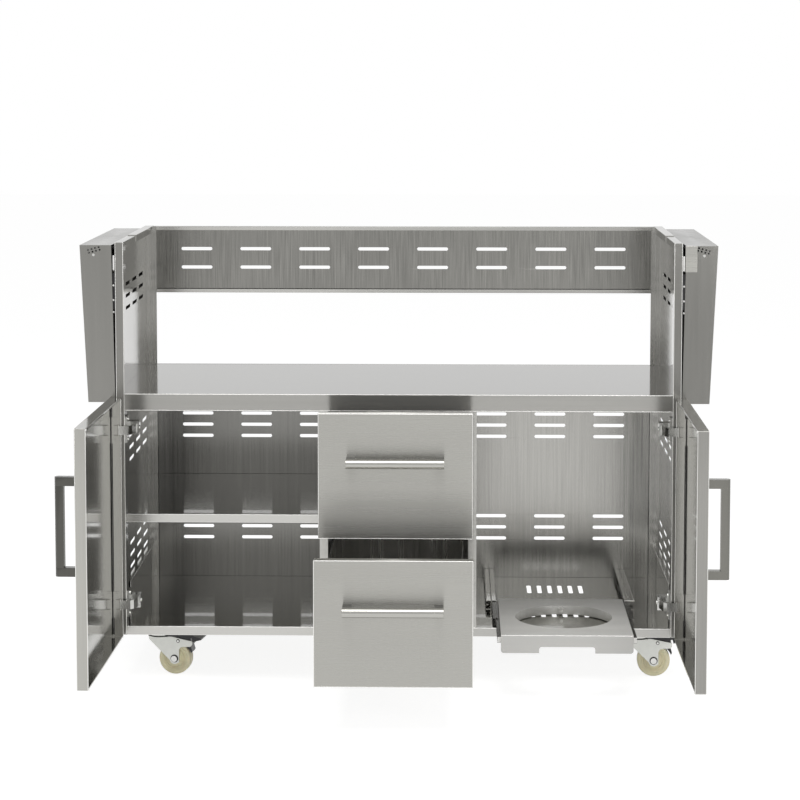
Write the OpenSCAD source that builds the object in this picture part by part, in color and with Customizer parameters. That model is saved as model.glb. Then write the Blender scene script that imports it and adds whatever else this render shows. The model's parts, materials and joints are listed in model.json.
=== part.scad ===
// Stainless grill cart: an open bay for a drop-in grill head over a cabinet with
// two doors, two drawers, a pull-out gas bottle tray, two folding side shelves
// and four swivel casters.
// X runs along the cart, Y from front to back and Z up. Everything is drawn from
// the front plane of the posts and then centred on the floor.

/* [Cabinet] */
// Width over the two side panels
cart_w = 1270; // [1180:10:1400]
// Depth from the front posts to the inside of the back panels
cart_d = 530; // [500:5:620]
// Height of the side panels above the ground
cart_h = 1002; // [996:1:1060]
// Height of the deck under the grill bay
deck_h = 660; // [640:1:680]
// Height of the rail along the front of the deck
deck_rail_h = 38; // [25:1:50]
// Height of the cabinet floor
floor_h = 128; // [124:1:132]
// Height of the lip along the front of the floor
floor_lip_h = 20; // [16:1:22]
// Height of the middle shelf in the left bay
shelf_h = 386; // [300:1:480]
// Height of the lip along the front of the middle shelf
shelf_lip_h = 18.5; // [12:0.5:30]
// Thickness of the stainless sheet
sheet = 1.2; // [0.8:0.1:2]
// Width of the posts folded along the front of a side panel
post_w = 18.5; // [15:0.5:24]
// Width of the flange folded along the back of a side panel
back_flange_w = 26; // [18:0.5:30]
// Depth of the inner return of a front post
post_return = 38; // [36:1:60]
// Depth of the lip hanging from the rim of a side panel
rim_lip_h = 14; // [8:1:25]
// Distance from the front plane to the cap that doubles the rim
cap_y = 214; // [100:1:400]
// Thickness of the rim cap
cap_t = 1.5; // [1:0.1:2.5]
// Height of the upper back panel
upper_back_drop = 163; // [130:1:200]
// Depth of the folded edges of the back panels
back_fold = 9; // [6:0.5:12]
// Distance from the centre to the drawer side of a partition
partition_x = 158; // [150:1:170]
// Width of the flange along the front of a partition
partition_flange = 19; // [15:1:25]

/* [Side rails] */
// Height of the channels that stand on the floor along the side panels
side_rail_h = 84; // [40:1:86]
// Distance that these channels stand out from the side panels
side_rail_w = 15; // [10:0.5:20]
// Distance from the front plane to the front end of these channels
side_rail_y = 85; // [70:1:120]

/* [Vent slots] */
// Length of a vent slot
slot_l = 76; // [50:1:100]
// Width of a vent slot
slot_w = 8; // [6:0.5:12]
// Distance from the rim down to the lower row of slots in the upper back panel
upper_row_drop = 100.8; // [90:0.5:120]
// Pitch of the two rows in the upper back panel
upper_row_pitch = 45.5; // [30:0.5:60]
// Pitch of the columns in the back panels
column_pitch = 145.3; // [120:0.1:155]
// Height of the lowest row of the lower group of slots
low_group_h = 226.7; // [200:0.1:240]
// Height of the lowest row of the upper group of slots
high_group_h = 481.8; // [450:1:500]
// Distance that the side slots sit below those in the back panel
side_slot_drop = 6; // [0:0.1:15]
// Distance from the rim down to the lowest row of slots beside the grill bay
bay_group_drop = 165; // [150:1:200]
// Pitch of the rows in a group of three
row_pitch = 28; // [20:0.5:36]
// Distance from the front plane to the first column of side slots
side_slot_y = 238; // [180:1:250]
// Pitch of the columns of side slots
side_slot_pitch = 117; // [90:1:120]
// Distance from the front plane to the first column of slots beside the grill bay
bay_slot_y = 197; // [150:1:220]
// Pitch of the columns of slots beside the grill bay
bay_slot_pitch = 115; // [90:1:130]
// Length of a slot in the floor
floor_slot_l = 86; // [40:1:100]
// Width of a slot in the floor
floor_slot_w = 10.5; // [8:0.5:16]
// Pitch of the slots in the floor
floor_slot_pitch = 25; // [20:0.5:28]
// Distance from the centre to the middle of the floor slots
floor_slot_x = 371.5; // [360:0.5:380]
// Distance from the front plane to the middle of the first row of floor slots
floor_slot_y = 152; // [120:1:180]
// Distance between the two rows of floor slots
floor_row_pitch = 246; // [150:1:280]

/* [Doors] */
// Gap left beside a closed door
door_gap = 2; // [1.5:0.1:4]
// Gap between a closed door and the drawer fronts
door_drawer_gap = 4; // [2:0.5:8]
// Thickness of a door pan
door_t = 24.5; // [20:0.5:30]
// Lowest height of the doors and of the lower drawer front
door_low = 104; // [100:1:106]
// Highest height of the doors and of the upper drawer front
door_top = 653; // [640:1:656]
// Width of the lip folded in along a door's top and bottom
door_lip = 5; // [3:0.5:6]
// Gap between a closed door and the posts
door_back_gap = 1.5; // [1.2:0.1:3]
// Angle that the left door stands open
left_open = 91; // [60:1:91]
// Angle that the right door stands open
right_open = 90; // [60:1:91]
// Distance from a door's top or bottom edge to its hinge
hinge_inset = 75; // [50:1:120]
// Height of a hinge's plate and leaf
hinge_plate_h = 60; // [50:2:80]
// Thickness of a hinge's plate
hinge_plate_t = 5.5; // [2:0.5:6]
// Height of a hinge's arm
arm_h = 20; // [12:1:24]
// Distance that a hinge's body stands out from the post
hinge_body_out = 28; // [20:1:30]
// Height of a hinge's body
hinge_body_h = 30; // [24:2:40]
// Distance from the front plane to a hinge's body
hinge_body_y = 30; // [20:1:40]
// Length of a hinge's body
hinge_body_l = 28; // [20:1:40]

/* [Handles] */
// Length of a handle
handle_l = 210; // [150:1:260]
// Width of the square bar of a handle
handle_w = 19; // [12:0.5:22]
// Distance that a handle stands out
handle_out = 49; // [30:1:60]
// Distance from a door's free edge to the middle of its handle
door_handle_inset = 45; // [30:1:80]
// Height of the middle of the door handles
door_handle_h = 441; // [300:1:520]
// Distance from the middle of a drawer front up to its handle
drawer_handle_rise = 33; // [0:1:80]

/* [Drawers] */
// Width of the drawer fronts
drawer_front_w = 333; // [320:1:336]
// Thickness of the drawer fronts
drawer_front_t = 25; // [18:0.5:30]
// Lowest height of the upper drawer front
upper_front_low = 381; // [376:1:390]
// Gap between the two drawer fronts
drawer_gap = 9; // [3:0.5:10]
// Travel of the drawers
drawer_travel = 400; // [300:5:420]
// Distance that the upper drawer stands open
upper_out = 217; // [0:1:300]
// Distance that the lower drawer stands open
lower_out = 400; // [0:1:400]
// Length of a drawer box
drawer_box_d = 450; // [420:5:480]
// Height of a drawer box
drawer_box_h = 195; // [120:1:200]
// Height of a drawer box above the lower edge of its front
drawer_box_rise = 31; // [20:1:40]
// Length of a drawer slide
drawer_slide_l = 450; // [420:5:490]
// Height of a drawer slide
drawer_slide_h = 45; // [35:1:53]
// Thickness of a drawer slide
drawer_slide_t = 12.7; // [12:0.1:14]

/* [Bottle tray] */
// Distance from the centre to the middle of the tray
tray_x = 375.5; // [370:0.5:380]
// Width of the tray
tray_w = 291; // [270:1:300]
// Depth of the tray
tray_d = 355; // [300:1:370]
// Height of the top of the tray
tray_h = 150.5; // [150:0.5:154]
// Thickness of the tray's plate
tray_t = 1.5; // [1:0.1:2.5]
// Distance that the tray stands out in front of the posts
tray_out = 158; // [100:1:160]
// Lowest height of the tray's front lip
tray_lip_low = 110.5; // [110:0.5:118]
// Diameter of the hole for the foot ring of a gas bottle
ring_d = 219; // [212:0.5:235]
// Width of the finger notch in the tray's front lip
notch_w = 123; // [80:1:140]
// Height of the finger notch in the tray's front lip
notch_h = 14; // [8:1:18]
// Length of the tray's slides
tray_slide_l = 345; // [300:1:345]
// Thickness of the tray's slides
tray_slide_t = 16; // [14:0.5:20]
// Width of the channels beside the tray's fixed rails
bracket_w = 12.5; // [10:0.5:18]
// Travel of the clamp screw that holds the bottle's ring
clamp_travel = 10; // [5:1:15]

/* [Side shelves] */
// Length of a side shelf from its hinge end to its free end
wing_l = 355; // [300:1:380]
// Width of a side shelf along the cart's depth
wing_d = 540; // [500:5:600]
// Distance from the rim down to the hinge end of a folded side shelf
wing_drop = 6; // [0:1:20]
// Distance from the centre to the inner edge of the hinge end
wing_in = 643; // [641:0.5:650]
// Thickness of a side shelf at its hinge end
wing_t = 71; // [60:0.5:76]
// Distance that a folded shelf leans in at its free end
wing_lean = 16; // [10:0.5:18]
// Thickness of a side shelf at its free end
wing_tip_t = 61; // [50:0.5:64]
// Distance from the hinge end to the shelf's pivot
wing_pivot_drop = 22; // [18:0.5:22]
// Distance from the outer face to the shelf's pivot
wing_pivot_in = 31; // [28:0.5:34]
// Diameter of a shelf hinge pin
wing_pin_d = 6; // [5:0.5:8]
// Height of a shelf bracket below its ledge
wing_bracket_h = 80; // [60:5:110]
// Width of a shelf bracket's flange
wing_bracket_w = 36; // [24:2:50]
// Height of the plate at the right shelf's corner
corner_plate_h = 58.5; // [40:0.5:80]
// Width of the plate at the right shelf's corner
corner_plate_w = 26.5; // [20:0.5:30]

/* [Casters] */
// Diameter of a wheel
wheel_d = 75; // [60:1:80]
// Width of a wheel
wheel_w = 26; // [20:1:32]
// Distance from the centre to a caster's swivel axis
caster_x = 549; // [520:1:570]
// Distance from the front or back plane to a caster's swivel axis
caster_y = 85; // [75:1:110]
// Offset of a wheel's axle from the swivel axis
trail = 36; // [30:1:40]
// Height of a caster's bearing between its plate and its fork
race_h = 15.5; // [12:0.5:16]
// Turn of a brake lever
brake_turn = 6; // [2:1:8]
// Angle that the left front caster is turned
left_swivel = -9; // [-20:1:20]
// Angle that the right front caster is turned
right_swivel = -2; // [-20:1:20]

/* [Fits] */
// Gap between parts that slide past each other
slide_gap = 0.5; // [0.3:0.05:0.8]
// Radial clearance of a pin in its bore
pin_gap = 0.05; // [0.02:0.01:0.1]
// Gap between sheets that are set into each other
sheet_gap = 0.2; // [0.1:0.05:0.5]

/* [Hidden] */

// Colours of the finishes
steel = [0.66, 0.66, 0.64];
inner_steel = [0.5, 0.5, 0.48];
chrome = [0.8, 0.81, 0.8];
zinc = [0.82, 0.83, 0.81];
nylon = [0.74, 0.71, 0.58];
black = [0.08, 0.08, 0.08];

// Places worked out from the driving sizes
half_w = cart_w / 2;
base_h = floor_h - floor_lip_h;
panel_h = cart_h - base_h;
web_in = half_w - sheet;
post_in = half_w - post_w;
back_in = half_w - back_flange_w;
back_y = cart_d + sheet;
columns = [-3.5 : 1 : 3.5];
rail_fold = 15;
full_d = back_y + sheet + back_fold;
upper_back_h = cart_h - upper_back_drop;

// Doors
door_out = half_w - door_gap;
door_in = drawer_front_w / 2 + door_drawer_gap;
door_w = door_out - door_in;
door_h = door_top - door_low;
// The hinge pins stand inside the pan, close to its hinge wall
pivot_back = 6;
pivot_side = 3.5;
door_pivot = [door_out - pivot_side, -door_back_gap - pivot_back];
nose_r = pivot_side - sheet - 0.3;
hinge_pin_r = 1.2;
hinge_heights = [door_low + hinge_inset, door_top - hinge_inset];
function reach(a) = (door_pivot[0] - door_in) * sin(a) - door_pivot[1]
    + max(-pivot_back * cos(a), (door_t - pivot_back) * cos(a));
door_reach = max(reach(left_open), reach(right_open));

// Drawers
drawer_low = [door_low, upper_front_low];
drawer_high = [upper_front_low - drawer_gap, door_top];
drawer_out = [lower_out, upper_out];
drawer_half = partition_x - drawer_slide_t;
drawer_reach = drawer_front_t + door_back_gap + lower_out + handle_out;
drawer_slide_z = [for (i = [0, 1]) drawer_low[i] + drawer_box_rise + drawer_box_h / 2];

// Tray
tray_front = -tray_out;
tray_slide_h = tray_h - tray_t - floor_h - 1;
tray_slide_z = floor_h + 0.5 + tray_slide_h / 2;
tray_mount = tray_w / 2 + tray_slide_t + 0.2;
tray_rail_y = cart_d - 1 - tray_slide_l;
tray_slide_front = tray_front + 8;
tray_middle_y = (tray_rail_y + tray_slide_front) / 2;
ring_y = tray_front + tray_d / 2;
collar_h = tray_h - floor_h - 2;
clamp_z = tray_h - tray_t - 9.5;
clamp_r = 3.5;
nut_l = 6.5;

// Side shelves
wing_top = cart_h - wing_drop;
wing_out = wing_in + wing_t;
wing_pivot = [wing_out - wing_pivot_in, wing_top - wing_pivot_drop];
wing_low = wing_top - wing_l;
wing_tip_out = wing_out - wing_lean;
wing_tip_in = wing_tip_out - wing_tip_t;
wing_lip = 8;
wing_bracket_y = 4;
wing_bracket_t = 3;
// A raised shelf rests its hinge lip on this ledge
ledge_h = wing_pivot[1] - (wing_pivot[0] - wing_in) - 1.6;

// Casters
axle_h = wheel_d / 2;
plate_t = 3.5;
fork_top = base_h - plate_t - race_h;
fork_r = 29.5;
leg_in = wheel_w / 2 + 2;
leg_t = 2.5;
axle_r = 4;
king_r = 5;

// Middle of the whole cart from front to back
back_reach = max(full_d, wing_d);
middle_y = (back_reach - max(door_reach, drawer_reach)) / 2;

// Sets the origin on the floor under the middle of the whole cart
module placed() {
    translate([0, -middle_y, 0]) children();
}

module sided(side) {
    if (side > 0) children();
    else mirror([1, 0, 0]) children();
}

module stadium(l, w) {
    square([l - w, w], center = true);
    for (s = [-1, 1]) translate([s * (l - w) / 2, 0]) circle(d = w, $fn = 32);
}

// A slot through a sheet that faces the front
module front_slot(x, z) {
    translate([x, 0, z]) rotate([90, 0, 0]) linear_extrude(60, center = true) stadium(slot_l, slot_w);
}

// Three rows and three columns of slots through a side panel
module side_slots(y, pitch, z) {
    for (i = [0 : 2], j = [0 : 2])
        translate([half_w, y + i * pitch, z + j * row_pitch])
            rotate([90, 0, 90]) linear_extrude(6, center = true) stadium(slot_l, slot_w);
}

// A folded sheet seen end on, along the centre line of the sheet
module fold(path, t = sheet) {
    for (i = [0 : len(path) - 2]) {
        d = path[i + 1] - path[i];
        translate(path[i]) rotate(atan2(d[1], d[0])) translate([0, -t / 2]) square([norm(d), t]);
    }
    for (i = [1 : len(path) - 2]) translate(path[i]) circle(d = t, $fn = 24);
}

// Extrudes a Y-Z profile along X between two places
module along_x(x0, x1) {
    translate([x0, 0, 0]) rotate([90, 0, 90]) linear_extrude(x1 - x0) children();
}

// Extrudes an X-Z profile along Y between two places
module along_y(y0, y1) {
    translate([0, y1, 0]) rotate([90, 0, 0]) linear_extrude(y1 - y0) children();
}

module round_bar(r, l, fn = 48) {
    rotate([90, 0, 0]) cylinder(r = r, h = l, center = true, $fn = fn);
}

// Side panel with its front post, back flange, rim and slots
module side_panel(side) {
    t = sheet / 2;
    color(steel) sided(side) difference() {
        union() {
            translate([0, 0, base_h]) linear_extrude(panel_h) fold([
                [post_in + t, post_return],
                [post_in + t, t],
                [half_w - t, t],
                [half_w - t, cart_d + t],
                [back_in, cart_d + t]
            ]);
            along_y(sheet, cart_d) fold([
                [post_in + t, cart_h - rim_lip_h],
                [post_in + t, cart_h - t],
                [half_w - t, cart_h - t]
            ]);
        }
        side_slots(side_slot_y, side_slot_pitch, low_group_h - side_slot_drop);
        side_slots(side_slot_y, side_slot_pitch, high_group_h - side_slot_drop);
        side_slots(bay_slot_y, bay_slot_pitch, cart_h - bay_group_drop);
    }
}

// Cap that doubles the back part of each rim and closes its corner
module rim_caps() {
    color(steel) for (side = [-1, 1]) sided(side) {
        along_y(cap_y, cart_d) fold([
            [post_in - cap_t / 2, cart_h - rim_lip_h],
            [post_in - cap_t / 2, cart_h + cap_t / 2],
            [half_w, cart_h + cap_t / 2]
        ], cap_t);
    }
}

module upper_back_panel() {
    t = sheet / 2;
    edge = back_in - sheet_gap;
    color(steel) difference() {
        union() {
            translate([-web_in, back_y, upper_back_h])
                cube([2 * web_in, sheet, cart_h - upper_back_h]);
            along_x(-edge, edge) fold([
                [back_y + t, cart_h - t],
                [back_y - back_fold, cart_h - t],
                [back_y - back_fold, cart_h - back_fold]
            ]);
            along_x(-edge, edge) fold([
                [back_y + t, upper_back_h + t],
                [back_y - back_fold, upper_back_h + t],
                [back_y - back_fold, upper_back_h + back_fold]
            ]);
            along_x(-web_in, web_in) fold([
                [back_y + t, cart_h - t],
                [full_d, cart_h - t]
            ]);
        }
        for (i = columns, j = [0, 1]) translate([0, back_y, 0])
            front_slot(i * column_pitch, cart_h - upper_row_drop + j * upper_row_pitch);
    }
}

module lower_back_panel() {
    t = sheet / 2;
    color(steel) difference() {
        along_x(-web_in, web_in) fold([
            [full_d, deck_h - t],
            [back_y + t, deck_h - t],
            [back_y + t, base_h + t],
            [full_d, base_h + t]
        ]);
        for (i = columns, j = [0 : 2], z = [low_group_h, high_group_h]) translate([0, back_y, 0])
            front_slot(i * column_pitch, z + j * row_pitch);
    }
}

// A plate set between the side panels and notched round the front posts
module notched_plate(x0, x1, left_notch, right_notch, h) {
    notch_y = post_return + 1;
    translate([0, 0, h - sheet]) linear_extrude(sheet) polygon([
        [x0 + left_notch, 0],
        [x1 - right_notch, 0],
        [x1 - right_notch, notch_y],
        [x1, notch_y],
        [x1, cart_d - sheet_gap],
        [x0, cart_d - sheet_gap],
        [x0, notch_y],
        [x0 + left_notch, notch_y]
    ]);
}

module deck() {
    t = sheet / 2;
    edge = web_in - sheet_gap;
    rail_edge = post_in - sheet_gap;
    color(steel) {
        notched_plate(-edge, edge, edge - rail_edge, edge - rail_edge, deck_h);
        along_x(-rail_edge, rail_edge) fold([
            [sheet, deck_h - t],
            [t, deck_h - t],
            [t, deck_h - deck_rail_h + t],
            [rail_fold, deck_h - deck_rail_h + t]
        ]);
    }
}

module floor_pan() {
    t = sheet / 2;
    edge = web_in - sheet_gap;
    rail_edge = post_in - sheet_gap;
    color(inner_steel) difference() {
        union() {
            notched_plate(-edge, edge, edge - rail_edge, edge - rail_edge, floor_h);
            along_x(-rail_edge, rail_edge) fold([
                [sheet, floor_h - t],
                [t, floor_h - t],
                [t, base_h]
            ]);
        }
        for (i = [-2.5 : 2.5], j = [0, 1])
            translate([floor_slot_x + i * floor_slot_pitch, floor_slot_y + j * floor_row_pitch, floor_h]) rotate(90)
                linear_extrude(6, center = true) stadium(floor_slot_l, floor_slot_w);
    }
}

// Channels under the floor that the casters bolt to, and channels on it along the side panels
module base_rails() {
    t = sheet;
    rail_w = 70;
    h = floor_lip_h - sheet;
    low = floor_h + sheet_gap + t / 2;
    high = floor_h + side_rail_h - t / 2;
    edge = web_in - sheet_gap;
    color(inner_steel) for (side = [-1, 1]) sided(side) {
        translate([caster_x - rail_w / 2, 0, 0]) along_y(sheet + sheet_gap, back_y - sheet_gap) fold([
            [-12, base_h + h - t / 2],
            [0, base_h + h - t / 2],
            [0, base_h + t / 2],
            [rail_w, base_h + t / 2],
            [rail_w, base_h + h - t / 2],
            [rail_w + 12, base_h + h - t / 2]
        ]);
        along_y(side_rail_y, cart_d - sheet_gap) fold([
            [edge, high],
            [edge - side_rail_w + t / 2, high],
            [edge - side_rail_w + t / 2, low],
            [edge, low]
        ]);
    }
}

// Upright between the drawers and a bay, folded away from the drawers
module partition(side) {
    t = sheet / 2;
    y0 = sheet + sheet_gap;
    rail_low = deck_h - deck_rail_h - sheet_gap;
    color(steel) sided(side) difference() {
        translate([0, 0, floor_h]) linear_extrude(deck_h - sheet - floor_h) fold([
            [partition_x + partition_flange, y0 + t],
            [partition_x + t, y0 + t],
            [partition_x + t, cart_d - sheet_gap - t],
            [partition_x + partition_flange, cart_d - sheet_gap - t]
        ]);
        // Notched below the deck's front rail
        translate([partition_x - 1, 0, rail_low]) cube([partition_flange + 3, rail_fold + 1, deck_rail_h + 1]);
    }
}

module mid_shelf() {
    t = sheet / 2;
    outer = -web_in + sheet_gap;
    inner = -partition_x - sheet - sheet_gap;
    lip_outer = -post_in + sheet_gap;
    lip_inner = -partition_x - partition_flange - sheet_gap;
    back = cart_d - 2 * sheet_gap - sheet;
    notch_y = post_return + 1;
    color(inner_steel) {
        translate([0, 0, shelf_h - sheet]) linear_extrude(sheet) polygon([
            [lip_outer, 0],
            [lip_inner, 0],
            [lip_inner, 2 * sheet + 2 * sheet_gap],
            [inner, 2 * sheet + 2 * sheet_gap],
            [inner, back - sheet - sheet_gap],
            [lip_inner, back - sheet - sheet_gap],
            [lip_inner, back],
            [outer, back],
            [outer, notch_y],
            [lip_outer, notch_y]
        ]);
        along_x(lip_outer, lip_inner) fold([
            [sheet, shelf_h - t],
            [t, shelf_h - t],
            [t, shelf_h - shelf_lip_h + t],
            [10, shelf_h - shelf_lip_h + t]
        ]);
    }
}

// Angle brackets that carry the middle shelf
module shelf_supports() {
    t = sheet / 2;
    leg = 14;
    top = shelf_h - sheet;
    color(inner_steel) {
        along_y(60, cart_d - 40) fold([
            [-web_in + leg, top - t],
            [-web_in + t, top - t],
            [-web_in + t, top - leg]
        ]);
        along_y(60, cart_d - 40) fold([
            [-partition_x - sheet - leg, top - t],
            [-partition_x - sheet - t, top - t],
            [-partition_x - sheet - t, top - leg]
        ]);
    }
}

// One member of a ball bearing slide, as a channel that opens towards +X.
// The members nest with a running gap; back is where the channel's web stands.
module slide_member(back, front, h, t, y, l) {
    along_y(y, y + l) fold([
        [front, h / 2 - t / 2],
        [back + t / 2, h / 2 - t / 2],
        [back + t / 2, -h / 2 + t / 2],
        [front, -h / 2 + t / 2]
    ], t);
}

module outer_member(w, h, t, y, l) {
    slide_member(0, w * 0.7, h, t, y, l);
}

// The middle member is an H: one channel opens each way
module middle_member(w, h, t, y, l) {
    inner_h = h - 2 * (t + slide_gap);
    web = w * 0.45;
    along_y(y, y + l) union() {
        translate([web - t / 2, -inner_h / 2]) square([t, inner_h]);
        for (s = [-1, 1]) translate([t + slide_gap, s * (inner_h - t) / 2 - t / 2])
            square([w * 0.95 - 2 * t - slide_gap, t]);
    }
}

module inner_member(w, h, t, y, l) {
    inner_h = h - 4 * (t + slide_gap);
    mirror([1, 0, 0]) translate([-w, 0, 0])
        slide_member(0, w * 0.55 - t / 2 - slide_gap, inner_h, t, y, l);
}

// Draws its children on both partitions, with X measured from the partition
module on_partitions(z) {
    for (side = [-1, 1]) sided(side) translate([partition_x, 0, z]) mirror([1, 0, 0]) children();
}

rail_y = 5;

module drawer_rails(i) {
    color(chrome) on_partitions(drawer_slide_z[i])
        outer_member(drawer_slide_t, drawer_slide_h, sheet, rail_y, drawer_slide_l);
}

module drawer_middle_slides(i) {
    color(chrome) on_partitions(drawer_slide_z[i]) middle_member(
        drawer_slide_t, drawer_slide_h, sheet, rail_y - drawer_out[i] / 2, drawer_slide_l);
}

module drawer_inner_slides(i) {
    color(chrome) on_partitions(drawer_slide_z[i]) inner_member(
        drawer_slide_t, drawer_slide_h, sheet, rail_y - drawer_out[i], drawer_slide_l);
}

// Pan of folded sheet, open at the back, with its skin at y = 0
module pan(x0, x1, z0, z1, depth) {
    translate([x0, 0, z0]) difference() {
        cube([x1 - x0, depth, z1 - z0]);
        translate([sheet, sheet, sheet])
            cube([x1 - x0 - 2 * sheet, depth, z1 - z0 - 2 * sheet]);
    }
}

module drawer_front(i) {
    y = -door_back_gap - drawer_front_t - drawer_out[i];
    half = drawer_front_w / 2;
    color(steel) translate([0, y, 0])
        pan(-half, half, drawer_low[i], drawer_high[i], drawer_front_t);
}

module drawer_box(i) {
    y = -door_back_gap - drawer_out[i];
    z = drawer_low[i] + drawer_box_rise;
    color(inner_steel) translate([0, y, z]) difference() {
        union() {
            translate([-drawer_half, 0, 0]) cube([2 * drawer_half, drawer_box_d, drawer_box_h]);
            // The front wall spreads behind the front to close its back
            translate([-drawer_front_w / 2 + sheet, -sheet, -drawer_box_rise + sheet])
                cube([drawer_front_w - 2 * sheet, sheet, drawer_high[i] - drawer_low[i] - 2 * sheet]);
        }
        translate([-drawer_half + sheet, sheet, sheet])
            cube([2 * (drawer_half - sheet), drawer_box_d - 2 * sheet, drawer_box_h]);
    }
}

// Square bar bent to a U, standing out along -Y from y = 0
module handle_bar() {
    post = handle_w;
    edge = 1.5;
    color(chrome) difference() {
        translate([-handle_l / 2, -handle_out, -handle_w / 2])
            cube([handle_l, handle_out, handle_w]);
        translate([-handle_l / 2 + post, -handle_out + handle_w, -handle_w])
            cube([handle_l - 2 * post, handle_out, 2 * handle_w]);
        for (s = [-1, 1]) translate([s * handle_l / 2, -handle_out, 0]) rotate(45)
            cube([edge * 2, edge * 2, 2 * handle_w], center = true);
    }
}

module drawer_handle(i) {
    y = -door_back_gap - drawer_front_t - drawer_out[i];
    z = (drawer_low[i] + drawer_high[i]) / 2 + drawer_handle_rise;
    translate([0, y, z]) handle_bar();
}

// Turns a closed right door, or what it carries, to where it stands open
module hung(side) {
    sided(side) translate([door_pivot[0], door_pivot[1], 0]) rotate(side < 0 ? left_open : right_open)
        translate([-door_pivot[0], -door_pivot[1], 0]) children();
}

module door(side) {
    face = -door_back_gap - door_t;
    color(steel) hung(side) {
        translate([0, face, 0]) pan(door_in, door_out, door_low, door_top, door_t);
        for (z = [door_low, door_top - door_lip])
            translate([door_in + sheet, -door_back_gap - sheet, z])
                cube([door_w - 2 * sheet, sheet, door_lip]);
    }
}

module door_handle(side) {
    hung(side) translate([door_in + door_handle_inset, -door_back_gap - door_t, door_handle_h])
        rotate([0, 90, 0]) handle_bar();
}

module door_bumpers(side) {
    r = door_lip / 2;
    color(chrome) hung(side) for (z = [door_low + r, door_top - r])
        translate([door_in + r + 0.7, -0.9, z]) round_bar(r, 1.2, 24);
}

// Leaf and ears of each concealed hinge, fixed inside the door's hinge wall
module door_hinge_cups(side) {
    wall = door_out - sheet;
    leaf_t = 1.5;
    leaf_y = [door_pivot[1] - 15.5, door_pivot[1] - 3];
    ear_t = 2;
    ear_gap = 0.3;
    color(chrome) hung(side) for (z = hinge_heights) {
        translate([wall - leaf_t, leaf_y[0], z - hinge_plate_h / 2])
            cube([leaf_t, leaf_y[1] - leaf_y[0], hinge_plate_h]);
        for (s = [-1, 1]) {
            translate([wall - leaf_t, (leaf_y[0] + leaf_y[1]) / 2, z + s * (hinge_plate_h / 2 - 7)])
                rotate([0, 90, 0]) cylinder(r = 3.5, h = 2, center = true, $fn = 24);
            translate([0, 0, z + s * (arm_h / 2 + ear_gap + ear_t / 2)]) difference() {
                linear_extrude(ear_t, center = true) {
                    polygon([
                        [wall - 0.2, leaf_y[0]],
                        [wall - 0.2, door_pivot[1] - nose_r],
                        [door_pivot[0], door_pivot[1] + nose_r],
                        [door_pivot[0] - nose_r, door_pivot[1]]
                    ]);
                    translate(door_pivot) circle(r = nose_r, $fn = 32);
                }
                translate([door_pivot[0], door_pivot[1], 0])
                    cylinder(r = hinge_pin_r + pin_gap, h = 2 * ear_t, center = true, $fn = 32);
            }
        }
    }
}

// Mounting plate, cranked arm, body, screws and pin of each concealed hinge
module door_hinge_arms() {
    plate_x = post_in - hinge_plate_t;
    body_x = post_in - hinge_body_out;
    color(chrome) for (side = [-1, 1], z = hinge_heights) sided(side) translate([0, 0, z]) {
        translate([plate_x, 2, -hinge_plate_h / 2]) cube([hinge_plate_t, post_return - 3, hinge_plate_h]);
        for (s = [-1, 1]) translate([plate_x - 0.5, post_return / 2, s * (hinge_plate_h / 2 - 7)])
            rotate([0, 90, 0]) cylinder(r = 3.5, h = 3, center = true, $fn = 24);
        translate([body_x, hinge_body_y, -hinge_body_h / 2])
            cube([hinge_body_out - hinge_plate_t + 1, hinge_body_l, hinge_body_h]);
        linear_extrude(arm_h, center = true) polygon([
            [plate_x + 1, hinge_body_y + 6],
            [body_x + 2, hinge_body_y + 6],
            [post_in - 17, -2],
            [post_in - 10, door_pivot[1] - nose_r],
            [door_pivot[0], door_pivot[1] - nose_r],
            [door_pivot[0], door_pivot[1] + nose_r],
            [post_in + 2, door_pivot[1] + nose_r],
            [post_in - 3, -1],
            [plate_x + 1, 3]
        ]);
        translate([body_x, hinge_body_y + hinge_body_l / 2, 0]) rotate([0, 90, 0]) cylinder(r = 4.5, h = 3, center = true, $fn = 32);
        translate(door_pivot) cylinder(r = nose_r, h = arm_h, center = true, $fn = 32);
        translate(door_pivot) cylinder(r = hinge_pin_r, h = arm_h + 5, center = true, $fn = 32);
    }
}

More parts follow.
